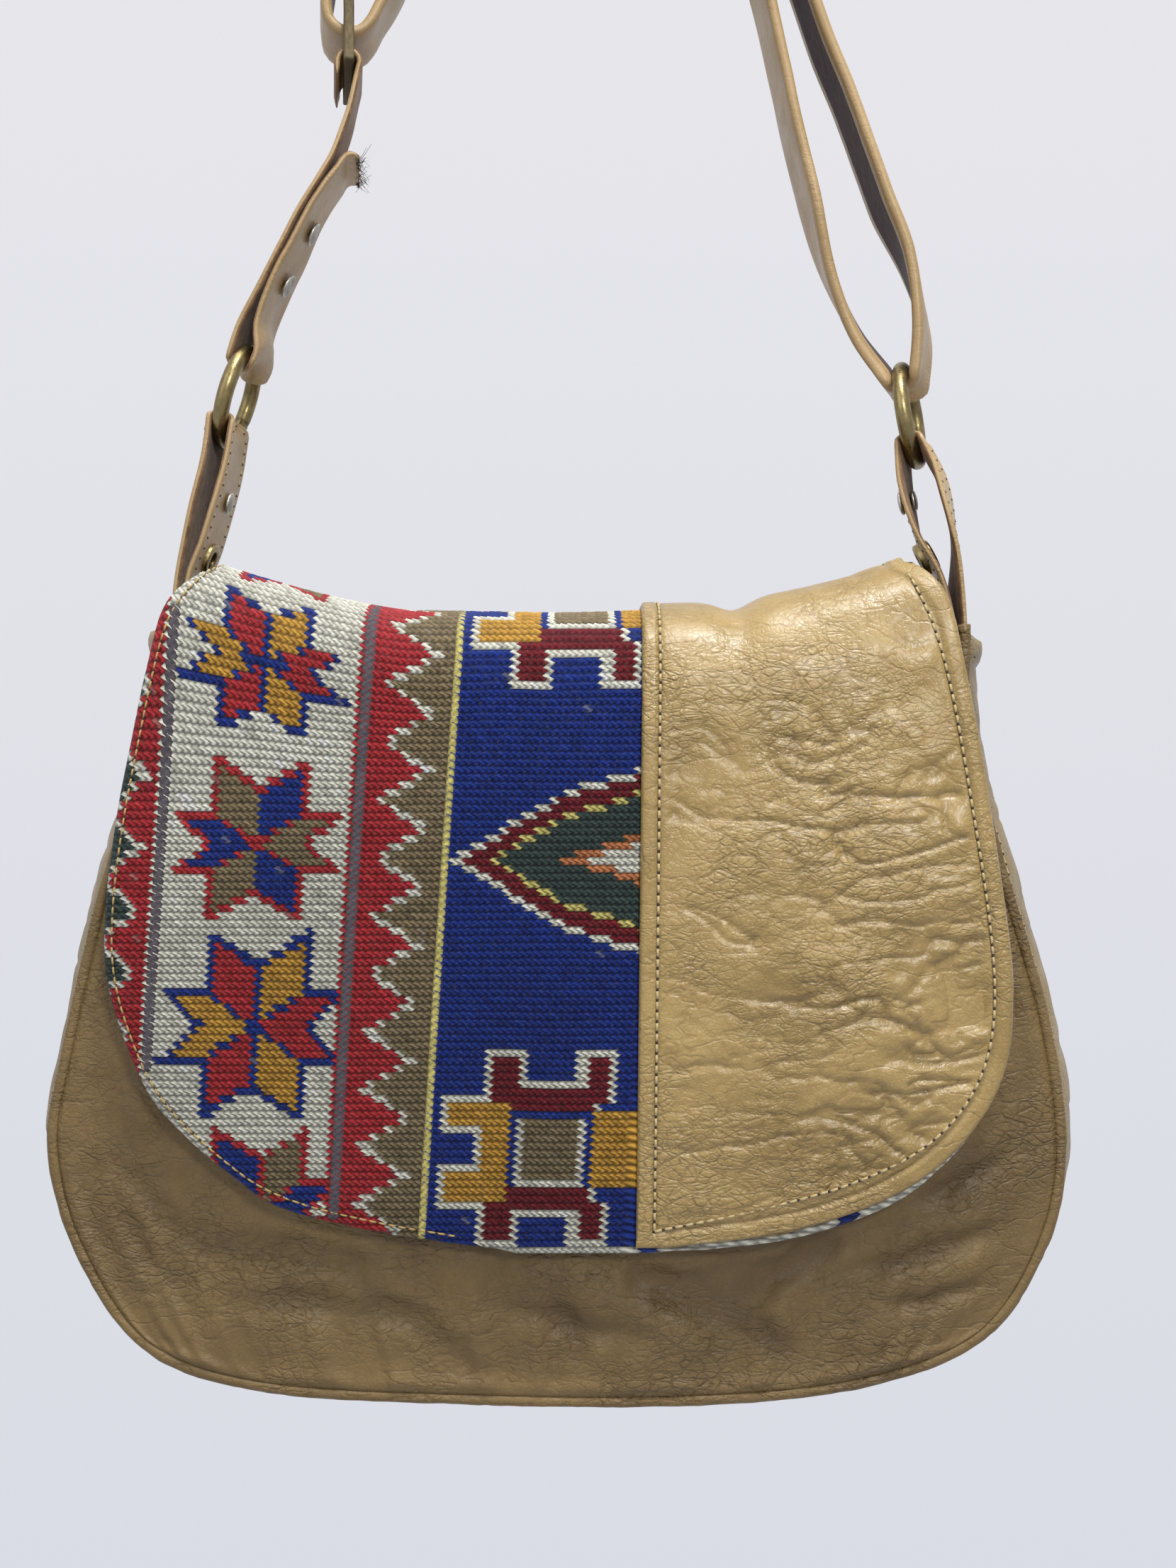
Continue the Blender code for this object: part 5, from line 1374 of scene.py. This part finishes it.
def short_strap():
    """The strap folded round the left ring, with one leaf up to the slider and a frayed end."""
    over, fold, leaf = over_slider(), LEFT.fold(1, TAB_LEATHER), long_leaf()
    out = side_of(leaf)
    part = (leaf[:, 1] > fold[0].y + 0.004) & (leaf[:, 1] < FRAYED_END + 0.001)
    back = leaf[part] + out[part] * leaf_spread(leaf[part, 1])[:, None]
    tip = back[-1]
    curl = [tip + np.array((0.0020, 0.0034)), tip + np.array((0.0046, 0.0046)),
            tip + np.array((0.0068, 0.0034))]
    end = [over[-1] - Vector((0.0, 0.0022)), over[-1] - Vector((0.0, 0.0045))]
    spine = catmull([*curl[::-1], *back[::-8], fold[-1]], 10)
    whole = np.vstack([spine[:-1], [tuple(p) for p in fold[::-1]], leaf[1:], [tuple(p) for p in over[1:]],
                       [tuple(p) for p in end]])
    path = resample(whole, 0.0016)
    strap("short_strap_leather", path, TAB_LEATHER, -1, bend_short, [STRAP_TAN, RAW], "short_strap", 230,
          wave=0.0003, end=0)
    fringe(path[0])


def fringe(end):
    """Fibres that stand out of the strap's torn end."""
    points, faces = [], []
    for k in range(70):
        across = RANDOM.uniform(-0.5, 0.5) * STRAP_WIDTH
        start = np.array(bend_short(Vector((end[0], STRAP_Y + across, end[1]))))
        way = np.array((0.6, 0.0, -0.5 if k % 2 else 0.4)) * RANDOM.uniform(0.0012, 0.0056)
        sway = RANDOM.normal(0, 0.0010, 3)
        line = [start + sway * t * t * 1.2 + way * t for t in (-0.3, 0.0, 0.5, 1.0)]
        add_tube([[p + np.array((cos(a), sin(a), 0.3 * sin(a))) * 0.00017 * (1.15 - 0.25 * step)
                   for a in (0.0, 2.1, 4.2)] for step, p in enumerate(line)], points, faces)
    piece = make("frayed_fibres", points, faces, FRAY)


def tab_foot(side):
    """Where a tab's two leaves meet behind the gusset's hem, across from the middle."""
    top = SEAM_FINE[0 if side < 0 else -1]
    front = LEATHER / 2 + PIPING_RADIUS + GAP
    back = back_y(top[1]) - front
    room = []
    for edge in (STRAP_Y - STRAP_WIDTH / 2, STRAP_Y + STRAP_WIDTH / 2):
        step = (edge - front) / (back - front) * 4
        low = int(step)
        swell = [GUSSET_BULGE * sin(pi * k / 4) ** 0.8 if 0 < k < 4 else 0.0 for k in range(5)]
        room.append(swell[low] * (low + 1 - step) + swell[low + 1] * (step - low))
    reach = abs(top[0]) + min(room) - LEATHER - 2 * GAP
    return side * (reach - TAB_LEATHER - GAP / 2)


def tab(side, place):
    """A folded tab: one leaf up from the hem, through the ring and back down to the hem."""
    label = "left" if side < 0 else "right"
    outer, inner = TAB_LINES[side]
    foot_x, step = tab_foot(side), (TAB_LEATHER + GAP) / 2 * side
    fold = place.fold(-1, TAB_LEATHER)[::-side]
    up = catmull([(foot_x + step, TAB_FOOT), (foot_x + step, HEM_MOUTH), *outer, fold[0]], 12)
    down = catmull([fold[-1], *inner, (foot_x - step, HEM_MOUTH), (foot_x - step, TAB_FOOT)], 12)
    path = resample(np.vstack([up, [tuple(p) for p in fold[1:-1]], down]), 0.0018)

    def bend(point):
        return turned(place.cup(point, -1), place.centre, place.yaw)

    strap("tab_" + label + "_leather", path, TAB_LEATHER, side, bend, [STRAP_TAN, RAW], "tab_" + label,
          240 + side, sewn=(0.010, 0.010))
    half = TAB_LEATHER / 2
    rivet("tab_rivet_" + label, *through(down, TAB_FOOT + 0.067, half, half, bend))
    eyelet("tab_eyelet_" + label, *through(down, TAB_FOOT + 0.048, half, half, bend))


def through(line, z, before, after, bend):
    """Two bent points on a line through leather, so far before and after its middle line."""
    order = np.argsort(line[:, 1])
    middle = np.array([np.interp(z, line[order, 1], line[order, 0]), z])
    k = int(np.argmin(np.abs(line[:, 1] - z)))
    out = side_of(line)[k]
    ends = [middle - out * before, middle + out * after]
    return [bend(Vector((p[0], STRAP_Y, p[1]))) for p in ends]


def lathe(profile, low, high, sides=32):
    """Rings of a profile of (radius, height from the middle) turned about the line of two points."""
    way = (high - low).normalized()
    middle, across = (low + high) / 2, way.orthogonal().normalized()
    other = way.cross(across)
    return [[tuple(middle + way * height + (across * cos(2 * pi * k / sides)
                                            + other * sin(2 * pi * k / sides)) * radius)
             for k in range(sides)] for radius, height in profile]


def fitting(name, kind, shape, material, body="root"):
    """A metal piece that stands for the CAD node of its name."""
    piece = make(name + kind, *shape, material, body)
    flip_out(piece)
    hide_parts(name)


def rivet(name, low, high):
    """A domed rivet with a rounded head on each face."""
    seat = (high - low).length / 2 + SEAT_ROOM
    profile = [(0.0003, seat + 0.0013)]
    profile += [(RIVET_HEAD * sin(a), seat + 0.0004 + 0.0009 * cos(a)) for a in np.linspace(0.25, pi / 2, 7)]
    profile += [(RIVET_HEAD, seat), (RIVET_HEAD - 0.0004, seat - 0.0003), (0.0015, seat - 0.0003)]
    back = [(r * 0.9, -h) for r, h in profile]
    fitting(name, "_brass", tube(lathe(profile + back[::-1], low, high)), NICKEL)


def eyelet(name, low, high):
    """A rolled eyelet: two rounded flanges joined by a barrel."""
    seat = (high - low).length / 2 + SEAT_ROOM
    middle, half = (EYELET_HOLE + EYELET_RIM) / 2, (EYELET_RIM - EYELET_HOLE) / 2
    profile = [(middle + half * cos(a), seat + 0.0009 * sin(a)) for a in np.linspace(0, pi, 9)]
    profile += [(radius, -height) for radius, height in profile[::-1]]
    fitting(name, "_brass", tube(lathe(profile, low, high), True), BRASS)


def ring(name, place):
    """A round ring of brass wire with its closed joint."""
    side = Vector((place.side.x, 0.0, place.side.y))
    pivot = Vector((place.centre.x, STRAP_Y, place.centre.y))
    rings = []
    for k in range(96):
        angle = 2 * pi * k / 96
        out = Vector((place.up.x * cos(angle), sin(angle), place.up.y * cos(angle)))
        joint = 1.0 - 0.07 * np.exp(-((k - 30) / 0.8) ** 2)
        rings.append([tuple(turned(pivot + out * (RING_RADIUS + RING_WIRE * joint * cos(2 * pi * w / 20))
                                   + side * RING_WIRE * joint * sin(2 * pi * w / 20),
                                   place.centre, place.yaw)) for w in range(20)])
    fitting(name, "_wire", tube(rings, True), BRASS, name)


def hardware():
    """CAD nodes that keep their own shape, with rounded edges and finished materials."""
    for name, made, width in (("slider", IRON, 0.0007), ("snap_socket", BRASS, 0.0003),
                              ("snap_stud", BRASS, 0.0003)):
        node = frame["nodes"][name]
        for slot in node.material_slots:
            slot.material = made
        weld = node.modifiers.new("weld", "WELD")
        weld.merge_threshold = 0.00002
        bevel = node.modifiers.new("bevel", "BEVEL")
        bevel.width, bevel.segments, bevel.limit_method = width, 3, "ANGLE"
        bevel.angle_limit = radians(30)


def build_all():
    panel("front_panel", True)
    panel("back_panel", False)
    gusset()
    piping("front_piping", False)
    piping("back_piping", True)
    lining()
    kilim()
    overlay()
    flap_threads()
    backing()
    long_strap()
    short_strap()
    for index, height in enumerate((0.3700, 0.3870)):
        rivet("strap_rivet_" + str(index + 1), *through(long_leaf(), height, TAB_LEATHER / 2,
                                                        leaf_spread(height) + TAB_LEATHER / 2, bend_short))
    tab(-1, LEFT)
    tab(1, RIGHT)
    ring("ring_left", LEFT)
    ring("ring_right", RIGHT)
    hardware()
    for stripe in STRIPES:
        cord_stripe(*stripe)


build_all()

# Camera, light and backdrop

FLOOR = -1.45
SWEEP = 0.7
WALL_TOP = 2.2

camera = bpy.data.objects.new("camera", bpy.data.cameras.new("camera"))
camera.data.lens = 37.02
camera.data.sensor_width = 36.0
camera.location = (0.0055, -0.543, -0.490)
camera.rotation_euler = (pi / 2, 0.0, 0.0)
camera.data.clip_start = 0.01
bpy.context.scene.collection.objects.link(camera)
bpy.context.scene.camera = camera
bpy.context.scene.view_settings.view_transform = "Standard"


def lamp(name, place, target, size, power):
    """A soft lamp that points at a target."""
    light = bpy.data.lights.new(name, "AREA")
    light.shape = "RECTANGLE"
    light.size, light.size_y = size
    light.energy = power
    holder = bpy.data.objects.new(name, light)
    holder.location = place
    holder.rotation_euler = (Vector(target) - Vector(place)).to_track_quat("-Z", "Y").to_euler()
    bpy.context.scene.collection.objects.link(holder)


lamp("key", (0.22, -0.62, 0.78), (0.0, 0.0, -0.50), (0.4, 0.4), 16.0)
lamp("front", (0.34, -1.20, -0.02), (0.08, 0.0, -0.50), (0.16, 0.16), 5.6)
lamp("fill", (-1.1, -1.1, 0.25), (0.0, 0.0, -0.5), (1.2, 1.2), 5.0)
lamp("top", (0.0, -0.1, 1.0), (0.0, 0.0, -0.5), (1.2, 1.0), 10.0)


def seen_directly(tree):
    """1 for rays that should meet the pale backdrop's own colour."""
    rays = add_node(tree, "ShaderNodeLightPath").outputs
    found = rays["Is Camera Ray"]
    for name in ("Is Glossy Ray", "Is Transmission Ray"):
        found = add_node(tree, "ShaderNodeMath", {0: found, 1: rays[name]},
                         operation="MAXIMUM").outputs["Value"]
    return found


def world():
    """Soft light from all sides, behind which the pale backdrop's colour is seen."""
    made = bpy.data.worlds.new("studio")
    bpy.context.scene.world = made
    made.use_nodes = True
    tree = made.node_tree
    lighting = tree.nodes["Background"]
    lighting.inputs["Color"].default_value = (0.86, 0.87, 0.92, 1.0)
    lighting.inputs["Strength"].default_value = 0.26
    shown = add_node(tree, "ShaderNodeBackground", {"Color": (*linear(226, 227, 233), 1.0)})
    both = add_node(tree, "ShaderNodeMixShader", {0: seen_directly(tree), 1: lighting.outputs["Background"],
                                                  2: shown.outputs["Background"]})
    tree.links.new(both.outputs["Shader"], tree.nodes["World Output"].inputs["Surface"])


def backdrop():
    """A pale sweep: floor well below the hanging bag, curving up into a wall."""
    curve = [(0.5 + SWEEP * sin(a), FLOOR + SWEEP * (1 - cos(a))) for a in np.linspace(0, pi / 2, 13)]
    profile = [(-2.6, FLOOR), *curve, (0.5 + SWEEP, WALL_TOP)]
    points = [(x, y, z) for y, z in profile for x in (-4.0, 4.0)]
    faces = [(2 * k, 2 * k + 1, 2 * k + 3, 2 * k + 2) for k in range(len(profile) - 1)]
    mesh = bpy.data.meshes.new("backdrop")
    mesh.from_pydata(points, [], faces)
    mesh.shade_smooth()
    m = Nodes("backdrop")
    m.set(Base_Color=(*linear(232, 232, 238), 1.0), Roughness=0.9)
    height = m.add("ShaderNodeSeparateXYZ", {"Vector": m.place}).outputs["Z"]
    # Seen directly, the sweep is a painted glow, darker towards the floor as painted shade.
    glow = m.add("ShaderNodeEmission", {"Color": m.mix(m.ramp(height, -1.4, 0.6),
                                                       linear(216, 219, 228), linear(233, 232, 236))})
    mixed = m.add("ShaderNodeMixShader", {0: seen_directly(m.tree), 1: m.shader.outputs["BSDF"],
                                          2: glow.outputs["Emission"]})
    m.tree.links.new(mixed.outputs["Shader"], m.tree.nodes["Material Output"].inputs["Surface"])
    mesh.materials.append(m.made)
    piece = bpy.data.objects.new("backdrop", mesh)
    bpy.context.scene.collection.objects.link(piece)


world()
backdrop()
